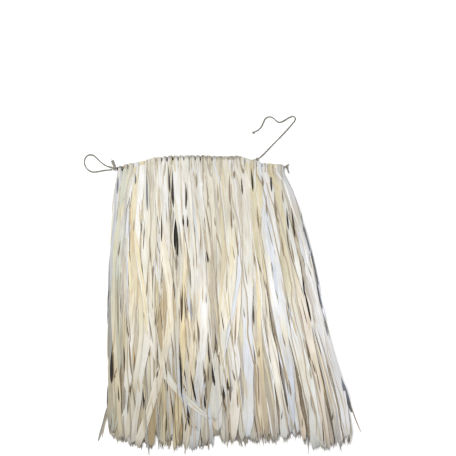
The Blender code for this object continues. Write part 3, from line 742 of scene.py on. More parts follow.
crossingStrips = (
    (2, -0.291, -0.297, -0.285, -0.277, 0.011, -0.371, "greenish", "cream"),
    (4, -0.247, -0.222, -0.24, -0.264, 0.012, -0.378, "golden", "ivory"),
    (8, -0.163, -0.144, -0.181, -0.229, 0.019, -0.387, "ivory", "white"),
    (10, -0.119, -0.129, -0.121, -0.066, 0.013, -0.33, "cream", "bluish"),
    (20, 0.019, 0.0, -0.02, -0.034, 0.029, -0.34, "cream", "ivory"),
    (24, 0.084, 0.092, 0.099, 0.116, 0.012, -0.374, "golden", "tan"),
    (27, 0.139, 0.156, 0.176, 0.178, 0.017, -0.377, "white", "bluish"),
    (29, 0.181, 0.233, 0.282, 0.309, 0.012, -0.37, "chalk", "white"),
)
# strips that slant across the others low on the skirt
slantingStrips = (
    (5, -0.236, -0.203, -0.143, 0.045, 0.017, -0.316, "white", "chalk"),
    (6, -0.214, -0.194, -0.137, 0.026, 0.014, -0.304, "ivory", "chalk"),
    (21, 0.04, 0.016, -0.021, -0.045, 0.011, -0.3, "white", "bluish"),
    (7, -0.203, -0.19, -0.166, -0.152, 0.011, -0.352, "cream", "golden"),
)

# Long narrow openings: at a wide one the upper strips part over a dark piece low in the heap, at a narrow
# one a dark sliver lies between them; both pieces are painted shadow: upper x and y, lower x and y, width,
# the piece's tone
openings = (
    (0.012, 0.34, 0.0147, 0.255, 0.005, "brown"),
    (0.132, 0.293, 0.1373, 0.22, 0.0046, "brown"),
    (0.164, 0.249, 0.1694, 0.191, 0.0044, "deep"),
    (0.1747, 0.164, 0.1853, 0.105, 0.0036, "brown"),
    (0.204, 0.079, 0.212, 0.015, 0.0045, "deep"),
    (0.204, 0.239, 0.209, 0.185, 0.0034, "slate"),
    (-0.133, 0.234, -0.128, 0.119, 0.014, "deep"),
    (-0.2095, 0.353, -0.2067, 0.241, 0.0046, "slate"),
    (-0.1133, 0.048, -0.116, -0.056, 0.0052, "deep"),
    (-0.31, 0.054, -0.312, -0.005, 0.0039, "deep"),
    (-0.284, 0.097, -0.284, -0.089, 0.0039, "brown"),
    (-0.1694, 0.236, -0.169, 0.159, 0.0039, "deep"),
    (-0.3, -0.12, -0.302, -0.218, 0.0086, "deep"),
    (-0.2187, -0.208, -0.2134, -0.307, 0.0052, "deep"),
    (-0.1227, -0.097, -0.1147, -0.255, 0.0054, "deep"),
    (-0.1, -0.275, -0.092, -0.337, 0.008, "deep"),
    (-0.092, -0.182, -0.076, -0.269, 0.0052, "deep"),
    (-0.0547, -0.246, -0.052, -0.287, 0.0054, "deep"),
    (-0.0347, -0.161, -0.0267, -0.225, 0.007, "deep"),
    (-0.0067, -0.221, 0.0, -0.266, 0.0054, "deep"),
    (0.0067, -0.203, 0.009, -0.238, 0.0054, "deep"),
    (0.177, 0.25, 0.187, 0.169, 0.0054, "deep"),
    (0.2067, 0.049, 0.2294, -0.055, 0.0054, "deep"),
    (0.0694, 0.355, 0.0747, 0.292, 0.0054, "deep"),
    (0.0254, 0.207, 0.036, 0.121, 0.0039, "brown"),
    (0.123, 0.352, 0.125, 0.29, 0.0048, "deep"),
    (0.0973, 0.337, 0.1013, 0.306, 0.0052, "brown"),
    (0.0867, 0.256, 0.0907, 0.192, 0.0039, "brown"),
    (-0.14, 0.35, -0.137, 0.25, 0.0062, "deep"),
    (-0.0493, 0.134, -0.0453, 0.103, 0.0052, "deep"),
    (-0.156, -0.206, -0.1547, -0.244, 0.0039, "deep"),
    (-0.044, -0.104, -0.04, -0.165, 0.0039, "deep"),
    (0.0867, -0.13, 0.0907, -0.278, 0.0039, "brown"),
    (0.13, -0.054, 0.142, -0.146, 0.0039, "brown"),
    (0.03, -0.013, 0.026, -0.117, 0.0039, "brown"),
    (-0.256, -0.082, -0.248, -0.198, 0.0046, "brown"),
    (0.152, 0.3, 0.156, 0.262, 0.004, "brown"),
    (0.11, 0.282, 0.113, 0.225, 0.0036, "brown"),
    (0.044, 0.33, 0.047, 0.284, 0.004, "deep"),
    (0.148, 0.18, 0.156, 0.12, 0.004, "brown"),
    (-0.02, 0.312, -0.018, 0.262, 0.0034, "brown"),
    (-0.078, 0.345, -0.076, 0.3, 0.004, "brown"),
    (-0.285, 0.337, -0.287, 0.286, 0.0042, "slate"),
    (-0.2395, 0.343, -0.2385, 0.312, 0.004, "slate"),
    (-0.151, 0.361, -0.148, 0.29, 0.0044, "deep"),
    (-0.1053, 0.318, -0.104, 0.245, 0.0046, "deep"),
    (-0.111, 0.232, -0.11, 0.2, 0.0046, "deep"),
    (-0.101, 0.232, -0.099, 0.196, 0.0044, "deep"),
    (-0.047, 0.306, -0.0455, 0.25, 0.004, "brown"),
    (0.0235, 0.364, 0.0245, 0.326, 0.0052, "brown"),
    (0.0165, 0.262, 0.0175, 0.19, 0.0044, "brown"),
    (0.0485, 0.366, 0.05, 0.34, 0.0042, "brown"),
)
openingTaper = 0.055  # how far beyond an opening the strips round it swing aside

# golden lengths of leaf that show between the strips, with the same columns
goldenLengths = (
    (-0.256, 0.262, -0.243, 0.125, 0.0062, "straw"),
    (-0.245, 0.214, -0.223, 0.06, 0.009, "golden"),
    (-0.262, 0.18, -0.252, 0.02, 0.0066, "golden"),
    (-0.231, 0.13, -0.21, -0.03, 0.008, "golden"),
    (-0.22, 0.03, -0.208, -0.09, 0.007, "golden"),
    (0.018, 0.2, 0.016, 0.06, 0.007, "golden"),
)

# strips that stray at the hem and along the side edges: bundle, upper x and y, tip x and y,
# width and tone; the dark blue-grey ones along the side edges are painted shade
strays = (
    (1, -0.309, 0.13, -0.314, -0.06, 0.0024, "slate"),
    (1, -0.312, -0.215, -0.315, -0.285, 0.003, "slate"),
    (30, 0.309, -0.2, 0.339, -0.297, 0.01, "slate"),
    (30, 0.331, -0.262, 0.364, -0.35, 0.0028, "brown"),
    (30, 0.212, 0.192, 0.227, 0.126, 0.008, "silver"),
    (30, 0.228, 0.132, 0.258, 0.014, 0.007, "silver"),
    (30, 0.25, 0.034, 0.265, -0.05, 0.007, "silver"),
    (30, 0.187, 0.28, 0.209, 0.196, 0.0034, "grey"),
    (30, 0.204, 0.222, 0.234, 0.11, 0.0048, "slate"),
    (30, 0.231, 0.138, 0.25, 0.045, 0.005, "slate"),
    (30, 0.244, 0.058, 0.261, -0.02, 0.004, "slate"),
    (30, 0.262, -0.03, 0.274, -0.09, 0.0036, "slate"),
    (1, -0.309, -0.265, -0.339, -0.374, 0.008, "grey"),
    (1, -0.307, -0.26, -0.329, -0.366, 0.0032, "tan"),
    (6, -0.214, -0.27, -0.203, -0.411, 0.0045, "grey"),
    (8, -0.183, -0.26, -0.177, -0.397, 0.004, "grey"),
    (9, -0.16, -0.28, -0.162, -0.389, 0.005, "golden"),
    (10, -0.135, -0.25, -0.128, -0.399, 0.003, "brown"),
    (18, 0.006, -0.26, 0.006, -0.391, 0.0045, "tan"),
    (26, 0.222, -0.27, 0.223, -0.409, 0.0024, "brown"),
    (28, 0.295, -0.27, 0.308, -0.395, 0.004, "grey"),
)


def edgeX(share, height):
    left, right = readRows(edges, height)
    return between(left, right, share)


def fullLayerMiddle(index, share, height, seed):
    # its own lane, the layer's lean and ripple, and its own drift
    lean, ripple, waves, phase = fullLayers[index][1:]
    down = (strips["firstRow"] - height) / (strips["firstRow"] - strips["lastRow"])
    held = math.sin(math.pi * share)
    leaning = lean * held * down
    rippled = ripple * held * math.sin(waves * math.pi * share + phase) * down * (2.0 - down)
    own = scatter(index, seed, 1) * down + scatter(index, seed, 2) * np.sin(math.pi * down)
    drift = strips["ownDrift"] / waist["bundles"] * own * (0.4 + 0.6 * held)
    return edgeX(share + leaning + rippled + drift, height)


def topStripMiddle(row, height):
    lane = (row[0] - 0.5) / waist["bundles"]
    places = [strips["firstRow"], *topHeights, strips["lastRow"]]
    values = [edgeX(lane, strips["firstRow"]), *row[1:5]]
    beyond = (topHeights[-1] - strips["lastRow"]) / (topHeights[-2] - topHeights[-1])
    values.append(values[-1] + (values[-1] - values[-2]) * beyond)
    slopes = np.gradient(values, places)
    found = np.full(len(height), values[-1])
    for index in range(len(places) - 1):
        start, end = places[index], places[index + 1]
        span = end - start
        t = (height - start) / span
        curve = (
            (2 * t**3 - 3 * t**2 + 1) * values[index] + (t**3 - 2 * t**2 + t) * span * slopes[index]
            + (3 * t**2 - 2 * t**3) * values[index + 1] + (t**3 - t**2) * span * slopes[index + 1]
        )
        found = np.where((height >= end) & ((height <= start) | (index == 0)), curve, found)
    return found


def spindle(down):
    # the share of its width that an opening has on its way down: widest below its middle
    down = np.clip(down, 0.0, 1.0)
    return np.clip(3.65 * down**1.3 * (1.0 - down) ** 0.7, 0.0, 1.0)


def partAtOpenings(middle, half, heights):
    # swings a strip aside where it would cover an opening
    for topX, topY, lowX, lowY, width in (row[:5] for row in openings):
        if width < strips["narrowOpening"]:
            continue
        down = (topY - heights) / (topY - lowY)
        centre = between(topX, lowX, down)
        near = smoothStep((topY + openingTaper - heights) / openingTaper)
        near = near * smoothStep((heights - lowY + openingTaper) / openingTaper)
        if near.max() < 0.5:
            continue
        halfWay = np.argmin(np.abs(down - 0.5))
        side = 1.0 if middle[halfWay] >= centre[halfWay] else -1.0
        room = width / 2.0 * spindle(down)
        short = half + room - side * (middle - centre)
        middle = middle + side * np.clip(short, 0.0, half + room) * near * smoothStep(short / 0.002)
    return middle


# The heap settles strip by strip: a height for every small square of the surface,
# raised by each strip that is laid down
heap = {
    "cell": 0.002,
    "low": (-0.42, -0.46),
    "count": (420, 460),
}
heapTop = np.zeros(heap["count"])


def heapCells(x, y):
    column = np.clip(((x - heap["low"][0]) / heap["cell"]).astype(int), 0, heap["count"][0] - 1)
    row = np.clip(((y - heap["low"][1]) / heap["cell"]).astype(int), 0, heap["count"][1] - 1)
    return column, row


def smoothLine(values, rounds):
    for _ in range(rounds):
        padded = np.concatenate([values[:1], values, values[-1:]])
        values = 0.25 * padded[:-2] + 0.5 * padded[1:-1] + 0.25 * padded[2:]
    return values


def finer(points, times):
    # more rows of points, on straight lines between the rows there are
    places = np.linspace(0.0, len(points) - 1.0, (len(points) - 1) * times + 1)
    lower = np.minimum(places.astype(int), len(points) - 2)
    share = (places - lower)[:, None, None]
    return points[lower] * (1.0 - share) + points[lower + 1] * share


def raiseHeap(points):
    dense = finer(finer(points, 8).transpose(1, 0, 2), 2)
    column, row = heapCells(dense[:, :, 0], dense[:, :, 1])
    np.maximum.at(heapTop, (column.ravel(), row.ravel()), dense[:, :, 2].ravel())


def supportUnder(x, y, half):
    # the height that carries a strip on its left and on its right, all along it
    under = heapTop[heapCells(x, y)]
    centre = x.shape[1] // 2
    left = under[:, :centre + 1].max(axis=1)
    right = under[:, centre:].max(axis=1)
    low = np.minimum(left, right)
    limit = strips["steepest"] * 2.0 * half + strips["clearance"]
    left = np.clip(left, low, low + limit)
    right = np.clip(right, low, low + limit)
    missing = np.maximum(0.0, under[:, centre] - (left + right) / 2.0)
    carried = []
    for side in (left + missing, right + missing):
        spread = side.copy()
        spread[1:-1] = np.maximum(side[1:-1], np.maximum(side[:-2], side[2:]))
        carried.append(np.maximum(smoothLine(0.5 * (spread + side), 3), smoothLine(side, 1) - 0.0004))
    return carried


bundleBuilders = [Builder() for _ in range(waist["bundles"])]
bundleAreas = [0.0] * waist["bundles"]


def stripHeights(neck, end):
    count = max(6, int((neck - end) / strips["station"]))
    above, below = strips["bodyMargins"]
    body = np.linspace(neck - above, end + below, count)
    return np.concatenate([[neck], body, end + np.array(strips["endStations"])])


def stripHalves(heights, neck, end, width, look):
    half = between(look["headHalf"], width / 2.0, smoothStep((neck - heights) / strips["widensOver"]))
    for centre, reach, depth in look["pinches"]:
        half = half * (1.0 - depth * np.exp(-(((heights - centre) / reach) ** 2)))
    ripple, waves = strips["edgeRipple"]
    half = half * (1.0 + ripple * np.sin(heights * waves + look["seed"]))
    tip = np.clip((heights - end) / look["tipLength"], 0.0, 1.0)
    return half * between(look["tipEnd"], 1.0, tip ** look["tipPower"])


section = {
    "body": (0.6, 0.4),  # how deep its fold is on average, and how much that varies
    "curlWaves": 13.0,
    "curlFrom": 0.5,  # from this share of half its width on, an edge curls up
    "curlPower": 1.5,
    "flatBelow": 0.004,  # half the width under which a strip gets flatter
}


def stripProfile(across, heights, half, look):
    # how a strip is folded, cupped or pleated along its length
    offset = across - look["crease"]
    shape = {
        "cup": offset**2,
        "ridge": 1.0 - np.abs(offset) / (1.0 + abs(look["crease"])),
        "fold": np.abs(offset),
        "pleat": 0.5 + 0.5 * np.cos(2.0 * math.pi * offset),
    }[look["form"]]
    mean, varied = section["body"]
    body = mean + varied * np.sin(heights * look["bodyWaves"] + look["seed"])
    curled = 0.5 + 0.5 * np.sin(heights * section["curlWaves"] + look["seed"])
    edge = np.maximum(0.0, look["curlSide"] * across - section["curlFrom"]) ** section["curlPower"]
    lift = look["depth"] * body[:, None] * shape + look["curl"] * curled[:, None] * edge
    return lift * np.minimum(1.0, half / section["flatBelow"])[:, None]


fadeLeft, fadeAcross = -0.30, 0.60  # where the left side's fade is full, and how far the right's is


def paintedLightAndTintAt(x, height):
    across = np.clip((x - fadeLeft) / fadeAcross, 0.0, 1.0)[..., None]
    leftBright, warm, rightBright, cool = [
        (value + 0.0 * x)[..., None] for value in readRows(paintedLightAndTint, height)
    ]
    left = leftBright * (1.0 + warm * np.array(warmth))
    right = rightBright * (1.0 + cool * np.array(coolness))
    return between(left, right, across)


toneLook = {
    "changeOver": 0.3,  # the share of its length in which its upper tone gives way
    "turnOver": 0.012,  # metres in which it turns over
    "patches": 5,  # paler or darker lengths of a strip, the last two stained
    "stains": ("golden", "tan"),
    "patchReach": (0.02, 0.10),
    "patchMean": 0.96,
    "patchDepth": 0.17,
    "stainDepth": 0.65,
    "drySkin": 0.25,  # how grey the cut end is, and where that begins
    "dryFrom": 0.965,
    "dryShade": 1.2,
    # painted shade: one half of a strip's fold lighter than the other, and its rims darkened
    "paintedFoldShade": 0.06,  # how much its two halves differ, and how dark its rims are
    "paintedRimShade": 0.03,
    "brightest": 0.95,
}


def stripTone(x, height, down, order, look):
    # its own two tones, duller on the leaf's other side, with paler and darker lengths, under painted light
    # and shade
    share = smoothStep((down - look["change"]) / toneLook["changeOver"])[:, None]
    tone = np.array(look["upper"]) * (1.0 - share) + np.array(look["lower"]) * share
    turned = np.zeros(len(height))
    for centre, reach, depth in look["pinches"]:
        turned = np.abs(turned - smoothStep((centre - height) / toneLook["turnOver"] + 0.5))
    tone = tone * between(1.0, np.array(look["otherSide"]), turned[:, None])
    plain = toneLook["patches"] - len(toneLook["stains"])
    for patch in range(toneLook["patches"]):
        middle = chance(look["seed"], patch, 71)
        reach = between(*toneLook["patchReach"], chance(look["seed"], patch, 72))
        near = np.exp(-(((down - middle) / reach) ** 2))[:, None]
        if patch < plain:
            patchy = toneLook["patchDepth"] * scatter(look["seed"], patch, 73) * near
            tone = tone * (toneLook["patchMean"] + patchy)
        else:
            stain = np.array(tones[toneLook["stains"][patch - plain]])
            tone = between(tone, stain, toneLook["stainDepth"] * chance(look["seed"], patch, 74) * near)
    # painted light and shade over the skirt, with the strip's own random brightness
    paintedLightAndTone = paintedLightAndTintAt(x, height) * (1.0 + look["bright"])
    tip = smoothStep((down - toneLook["dryFrom"]) / (1.0 - toneLook["dryFrom"]))[:, None]
    dry = np.array(tones["grey"]) * toneLook["dryShade"]
    tone = between(tone, dry, toneLook["drySkin"] * tip) * paintedLightAndTone
    # painted shade across the strip: the fold's two halves lit differently, its rims darker
    halves = 1.0 + toneLook["paintedFoldShade"] * look["crease"] * np.sign(order - look["crease"])
    halves = halves - toneLook["paintedRimShade"] * np.abs(order) ** 6
    return np.clip(tone[:, None, :] * halves[None, :, None], 0.0, toneLook["brightest"])


foldTurns = np.linspace(0.0, math.pi, 9)  # the rows of a fold, round the cord from back to front
headBow = 0.0004
# how far below the cord each other row lies, and how much it has widened
backRows = ((0.012, 0.5), (0.005, 0.0))
frontRows = ((0.006, 0.0), (0.011, 0.55), (0.016, 0.92))


def headRows(share, across, front, look):
    # The strip in its head. A folded strip comes from the cord's back, round it and down
    # its front. Each row: corners, direction of the outer side and half the width
    headX, headY = waistX(share), waistY(share)
    step = 0.5 / waist["bundles"]
    slope = (waistY(share + step) - waistY(share - step)) / (waistX(share + step) - waistX(share - step))
    radius, loopHalf, headHalf = look["radius"], look["loopHalf"], look["headHalf"]
    sign = 1.0 if front else -1.0
    rows = []

    def addRow(drop, up, widened, outY, outZ):
        half = between(loopHalf, headHalf, widened)
        bow = headBow * (1.0 - across**2)
        y = headY - drop + slope * across * half + bow * outY
        corners = np.stack([headX + across * half, y, cordHeight + up + bow * outZ], axis=1)
        rows.append((corners, np.array([0.0, outY, outZ]), half))

    if look["folded"]:
        for drop, widened in backRows:
            addRow(drop, -radius, widened, 0.0, -1.0)
        for turn in foldTurns:
            addRow(-radius * math.sin(turn), -radius * math.cos(turn), 0.0, math.sin(turn), -math.cos(turn))
    for drop, widened in frontRows:
        addRow(drop, sign * radius, widened, 0.0, sign)
    return rows


def shell(upper, lower, across):
    # the closed rings of a thin strip between its two faces, and where each corner lies across it
    rims = 0.5 * (upper + lower)
    grid = np.concatenate([rims[:, :1], upper[:, 1:-1], rims[:, -1:], lower[:, -2:0:-1]], axis=1)
    return grid, np.concatenate([across, across[-2:0:-1]])


def layStrip(bundle, layer, middleAt, width, end, look):
    # one strip: from its head, or from the cord's back side over the cord, to its cut end
    share = (bundle + 0.5 + look["lane"]) / waist["bundles"]
    headX, headY = waistX(share), waistY(share)
    neck = headY - waist["headBelowCord"]
    front = look["front"]
    left, right = readRows(edges, end)
    cutShare = (float(middleAt(np.array([end]))[0]) - left) / (right - left)
    end = end + readRows(hemLine, min(1.0, max(0.0, cutShare)))[0]
    narrowest, times = strips["headLimit"]
    look["headHalf"] = min(look["headHalf"], max(width, narrowest) / 2.0 * times)
    look["loopHalf"] = min(look["loopHalf"], loopHalves[bundle], look["headHalf"])
    look["pinches"] = [
        (between(neck - strips["pinchMargin"], end + strips["pinchMargin"], place), reach, depth)
        for place, reach, depth in look["pinches"]
    ]

    heights = stripHeights(neck, end)
    half = stripHalves(heights, neck, end, width, look)
    free = smoothStep((neck + 0.004 - heights) / max(0.02, neck - strips["firstRow"]))
    middle = headX + (middleAt(heights) - headX) * free
    swayed = look["sway"] * np.sin(heights * look["swayWaves"] + look["seed"])
    smaller, shorter = strips["secondSway"]
    waves = heights * shorter * look["swayWaves"]
    swayed = swayed + smaller * look["sway"] * np.sin(waves + 2.0 * look["seed"])
    middle = middle + swayed * smoothStep((neck - heights) / strips["swaysOver"])
    if layer >= strips["partingLayer"]:
        left, right = readRows(edges, heights)
        kept = strips["keptInside"] * half
        middle = np.clip(partAtOpenings(middle, half, heights), left + kept, right - kept)
        middle = smoothLine(middle, 1)

    across = np.linspace(-1.0, 1.0, look["across"])
    centre = len(across) // 2
    slant = np.arctan(np.gradient(middle, heights))
    tip = 1.0 - np.clip((heights - end) / look["tipLength"], 0.0, 1.0)
    x = middle[:, None] + across * (half * np.cos(slant))[:, None]
    y = heights[:, None] - across * (half * np.sin(slant) - look["tipSkew"] * tip)[:, None]
    left, right = supportUnder(x, y, half)
    tilt = (across + 1.0) / 2.0
    settled = left[:, None] * (1.0 - tilt) + right[:, None] * tilt + strips["clearance"]
    settled = settled + stripProfile(across, heights, half, look)
    headZ = cordHeight + (look["radius"] if front else -look["radius"]) + look["headLift"]
    z = between(headZ, settled, smoothStep((neck - heights) / strips["settlesOver"])[:, None])
    thick = strips["thickness"]
    lifted = np.stack([x, y, z + thick], axis=2)
    lowered = np.stack([x, y, z], axis=2)
    raiseHeap(lifted)

    head = headRows(share, across, front, look)
    outer = [corners + outward * thick / 2.0 for corners, outward, _ in head]
    inner = [corners - outward * thick / 2.0 for corners, outward, _ in head]
    outer = np.concatenate([outer, lifted if front else lowered])
    inner = np.concatenate([inner, lowered if front else lifted])
    for face in (outer, inner):
        face[:, :, 2] = np.maximum(face[:, :, 2], lowest["leaf"])
    halves = np.concatenate([[rowHalf for _, _, rowHalf in head], half])
    places = np.concatenate([[headY] * len(head), heights])
    grid, order = shell(outer, inner, across)
    if front:
        grid, order = grid[:, ::-1], order[::-1]

    spine = 0.5 * (outer[:, centre] + inner[:, centre])
    lengths = runningLength(spine)
    colour = stripTone(spine[:, 0], places, lengths / lengths[-1], order, look)
    # the rows behind and over the cord are painted darker
    colour[:len(head) - 3] *= crownShades[crownBundles[0] <= bundle < crownBundles[1]]
    onLeaf = order * halves[:, None]
    bundleBuilders[bundle].addGrid(grid, onLeaf, lengths[:, None], look["seed"] * 1.37, colour)
    bundleAreas[bundle] += float(((halves[1:] + halves[:-1]) * np.diff(lengths)).sum())
    if width > splitTips["fromWidth"]:
        addTipFibres(bundle, lifted[-1], lifted[-2], colour[-1, 0], look["seed"])


splitTips = {
    "fromWidth": 0.008,  # narrower strips don't split
    "fibres": 10,
    "reach": (0.006, 0.017),
    "radius": (0.0003, 0.0009),
    "shade": (0.65, 1.05),
    "spread": 0.30,
    "droop": 0.0015,
}


def addTipFibres(bundle, lastRow, rowBefore, tone, seed):
    # the cut end of a leaf splits into a few fibres
    heading = lastRow.mean(axis=0) - rowBefore.mean(axis=0)
    heading = heading / np.linalg.norm(heading)
    for fibre in range(splitTips["fibres"]):
        start = between(lastRow[0], lastRow[-1], chance(seed, fibre, 81)) - heading * 0.003
        side = np.array([scatter(seed, fibre, 82), 0.0, 0.0])
        reach = between(*splitTips["reach"], chance(seed, fibre, 83))
        line = start + heading * reach * frayedSteps + side * reach * splitTips["spread"] * frayedSteps**2
        line[:, 2] -= splitTips["droop"] * frayedSteps[:, 0]
        thick = between(*splitTips["radius"], chance(seed, fibre, 84))
        shade = between(*splitTips["shade"], chance(seed, fibre, 85))
        addThread(bundleBuilders[bundle], line, thick, seed, lowest["tip"], tone * shade)


curl = 0.0030  # how far an edge curls up at most
pinchLook = {"under": 4.0, "reach": (0.012, 0.050), "depth": (0.30, 0.82)}  # a strip has under four
forms = ("cup", "ridge", "fold", "fold", "pleat")
otherSides = ((1.06, 1.02, 0.95), (0.88, 0.90, 0.93))  # the tint of a leaf's other side

# what differs from strip to strip: from one value to another, and the salt that picks it
stripSpans = {
    "change": (0.15, 0.6, 26),  # where its upper tone gives way to its lower one
    "depth": (0.0010, 0.0026, 13),
    "swayWaves": (18.0, 34.0, 16),
    "bodyWaves": (12.0, 45.0, 17),
    "tipEnd": (0.14, 0.85, 5),
    "tipPower": (0.4, 1.0, 6),
    "tipLength": (0.008, 0.040, 8),
}
# and up to one value on either side of nothing
stripSwings = {
    "crease": (0.4, 12),
    "sway": (0.0022, 15),
    "tipSkew": (0.006, 7),
    "bright": (0.05, 9),
    "headLift": (0.0003, 25),
    "lane": (0.05, 28),
}


def stripLook(layer, number, radius, upper, lower, **extra):
    # everything about one strip but its route, width and end
    pinches = [
        (chance(layer, number, 20 + pinch),
         between(*pinchLook["reach"], chance(layer, number, 30 + pinch)),
         between(*pinchLook["depth"], chance(layer, number, 35 + pinch)))
        for pinch in range(int(chance(layer, number, 18) * pinchLook["under"]))
    ]
    look = {
        "seed": float(layer * 100 + number),
        "upper": upper,
        "lower": lower,
        "otherSide": otherSides[chance(layer, number, 10) > 0.4],
        "form": forms[int(chance(layer, number, 11) * 4.999)],
        "curl": curl * max(0.0, scatter(layer, number, 14)),
        "curlSide": 1.0 if scatter(layer, number, 27) > 0.0 else -1.0,
        "pinches": pinches,
        "radius": radius,
        "headHalf": strips["headHalf"] * between(*strips["headSpread"], chance(layer, number, 24)),
        "loopHalf": max(loopHalves),
        "across": 7,
        "front": True,
        "folded": True,
    }
    for name, (low, high, salt) in stripSpans.items():
        look[name] = between(low, high, chance(layer, number, salt))
    for name, (reach, salt) in stripSwings.items():
        look[name] = reach * scatter(layer, number, salt)
    look.update(extra)
    return look


palettes = {
    "left": ("bluish", "ivory", "greenish", "cream", "white"),
    "middle": ("ivory", "cream", "white", "cream", "ivory", "golden", "bluish"),
    "right": ("cream", "chalk", "tan", "ivory", "bluish", "white", "golden"),
    "lowLeft": ("ivory", "straw", "tan", "white", "golden", "tan"),
    "lowMiddle": ("cream", "bluish", "peach", "ivory", "tan", "white"),
    "lowRight": ("peach", "chalk", "bluish", "tan", "white", "ivory"),
}


# the first bundle that takes its tones from a palette, for the strips' upper and lower halves
upperPalettes = ((0, "left"), (6, "middle"), (20, "right"))
lowerPalettes = ((0, "lowLeft"), (11, "lowMiddle"), (21, "lowRight"))


def pickTones(layer, bundle, paintedShade):
    # an upper and a lower tone that suit the bundle's place, pulled towards brown inside the heap as painted
    # shade
    picked = []
    for index, places in enumerate((upperPalettes, lowerPalettes)):
        palette = palettes[[name for first, name in places if bundle >= first][-1]]
        tone = tones[palette[int(chance(layer, bundle, 40 + index) * (len(palette) - 0.001))]]
        picked.append(tuple(between(value, deep, paintedShade) for value, deep in zip(tone, tones["brown"])))
    return picked


def layFullLayer(index, radius, front, paintedShade, widthShare):
    for bundle in sorted(range(waist["bundles"]), key=lambda bundle: scatter(index, bundle, 50)):
        share = (bundle + 0.5) / waist["bundles"]
        width = fullLayers[index][0] * (1.0 + strips["widthSpread"] * scatter(index, bundle, 3)) * widthShare
        spread = strips["endSpread"] * strips["hemSpread"]
        end = strips["hem"] + strips["endsAbove"] + spread * scatter(index, bundle, 4)
        picked = pickTones(index, bundle, paintedShade)
        look = stripLook(index, bundle, radius, *picked, front=front, folded=front)
        layStrip(bundle, index, lambda y: fullLayerMiddle(index, share, y, bundle), width, end, look)


thinStrips = {
    "bundleSpread": 0.8,  # how many bundles it may be off its turn
    "laneSpread": 0.9,  # and off its lane
    "shares": (0.005, 0.995),
    "litShare": 0.62,  # the share that lies in the light, and how much darker the rest is
    "shadow": 0.55,
    "endsAbove": 0.004,
    "endSpread": 1.25,
    "headLane": 0.30,
    "sway": 0.0040,
    "look": {"across": 5, "headHalf": 0.0024, "loopHalf": 0.0018, "depth": 0.0008, "tipEnd": 0.2},
}


def layThinStrips(layer, lanesOf, radius, count, front, paintedShade, widths):
    # narrow strips between the wide ones, from the same bundles
    bundles, spread = waist["bundles"], thinStrips["endSpread"] * strips["hemSpread"]
    for number in range(count):
        offTurn = thinStrips["bundleSpread"] * scatter(layer, number, 60)
        bundle = int((number + 0.5) / count * bundles + offTurn) % bundles
        lane = (bundle + 0.5 + thinStrips["laneSpread"] * scatter(layer, number, 61)) / bundles
        share = min(thinStrips["shares"][1], max(thinStrips["shares"][0], lane))
        width = between(*widths, chance(layer, number, 62))
        shade = paintedShade + (thinStrips["shadow"] if chance(layer, number, 66) > thinStrips["litShare"] else 0.0)
        end = strips["hem"] + thinStrips["endsAbove"] + spread * scatter(layer, number, 63)
        picked = pickTones(layer, (bundle + number) % bundles, min(1.0, shade))
        look = stripLook(
            layer, number, radius, *picked, front=front, folded=front, **thinStrips["look"],
            lane=thinStrips["headLane"] * scatter(layer, number, 64),
            sway=thinStrips["sway"] * scatter(layer, number, 65),
        )
        layStrip(bundle, layer, lambda y: fullLayerMiddle(lanesOf, share, y, number + 40), width, end, look)


tableLook = {"across": 9, "depth": (0.0014, 0.0032), "sway": 0.0018}


def layTable(rows, layer, radius, folded, widthShare):
    for number in sorted(range(len(rows)), key=lambda n: scatter(layer, n, 51)):
        row = rows[number]
        look = stripLook(
            layer, number, radius, tones[row[7]], tones[row[8]], folded=folded,
            across=tableLook["across"],
            depth=between(*tableLook["depth"], chance(layer, number, 13)),
            sway=tableLook["sway"] * scatter(layer, number, 15),
        )
        layStrip(row[0] - 1, layer, lambda y: topStripMiddle(row, y), row[5] * widthShare, row[6], look)


blades = {
    "station": 0.010,
    "across": 5,
    "clearance": 0.0002,
    "cup": 0.0006,
    "narrowest": 0.06,  # a pointed end's width, of the blade's
    "stubNarrowest": 0.05,
}


def layBlade(bundle, seed, topX, topY, lowX, lowY, width, tone, tipShare, bend):
    # a short loose piece of leaf that lies on the heap as it is, pointed where tipShare is nothing
    down = np.linspace(0.0, 1.0, max(5, int((topY - lowY) / blades["station"])))
    across = np.linspace(-1.0, 1.0, blades["across"])
    middle = between(topX, lowX, down) + bend * np.sin(math.pi * down)
    heights = between(topY, lowY, down)
    half = width / 2.0 * np.maximum(spindle(down), blades["narrowest"])
    if tipShare > 0.0:
        begun = smoothStep(down / 0.35) + blades["stubNarrowest"]
        half = width / 2.0 * np.minimum(begun, between(1.0, tipShare, smoothStep((down - 0.8) / 0.2)))
    x = middle[:, None] + across * half[:, None]
    y = heights[:, None] + 0.0 * x
    left, right = supportUnder(x, y, half)
    z = (left + right)[:, None] / 2.0 + blades["clearance"] + blades["cup"] * across**2
    lower = np.stack([x, y, z], axis=2)
    upper = lower + np.array([0.0, 0.0, strips["thickness"]])
    raiseHeap(upper)
    grid, order = shell(upper, lower, across)
    # the same painted light and shade as on the strips
    colour = np.array(tone) * paintedLightAndTintAt(middle, heights)[:, None, :]
    onLeaf = order[::-1] * half[:, None]
    bundleBuilders[bundle].addGrid(grid[:, ::-1], onLeaf, heights[:, None], seed, colour)


def bundleNear(x, y):
    left, right = readRows(edges, min(y, edges[0][0]))
    return int(min(waist["bundles"] - 1, max(0, (x - left) / (right - left) * waist["bundles"])))


openingLook = {"reach": 0.006, "wider": 1.5, "bend": 0.0015}  # what lies deep is longer and wider


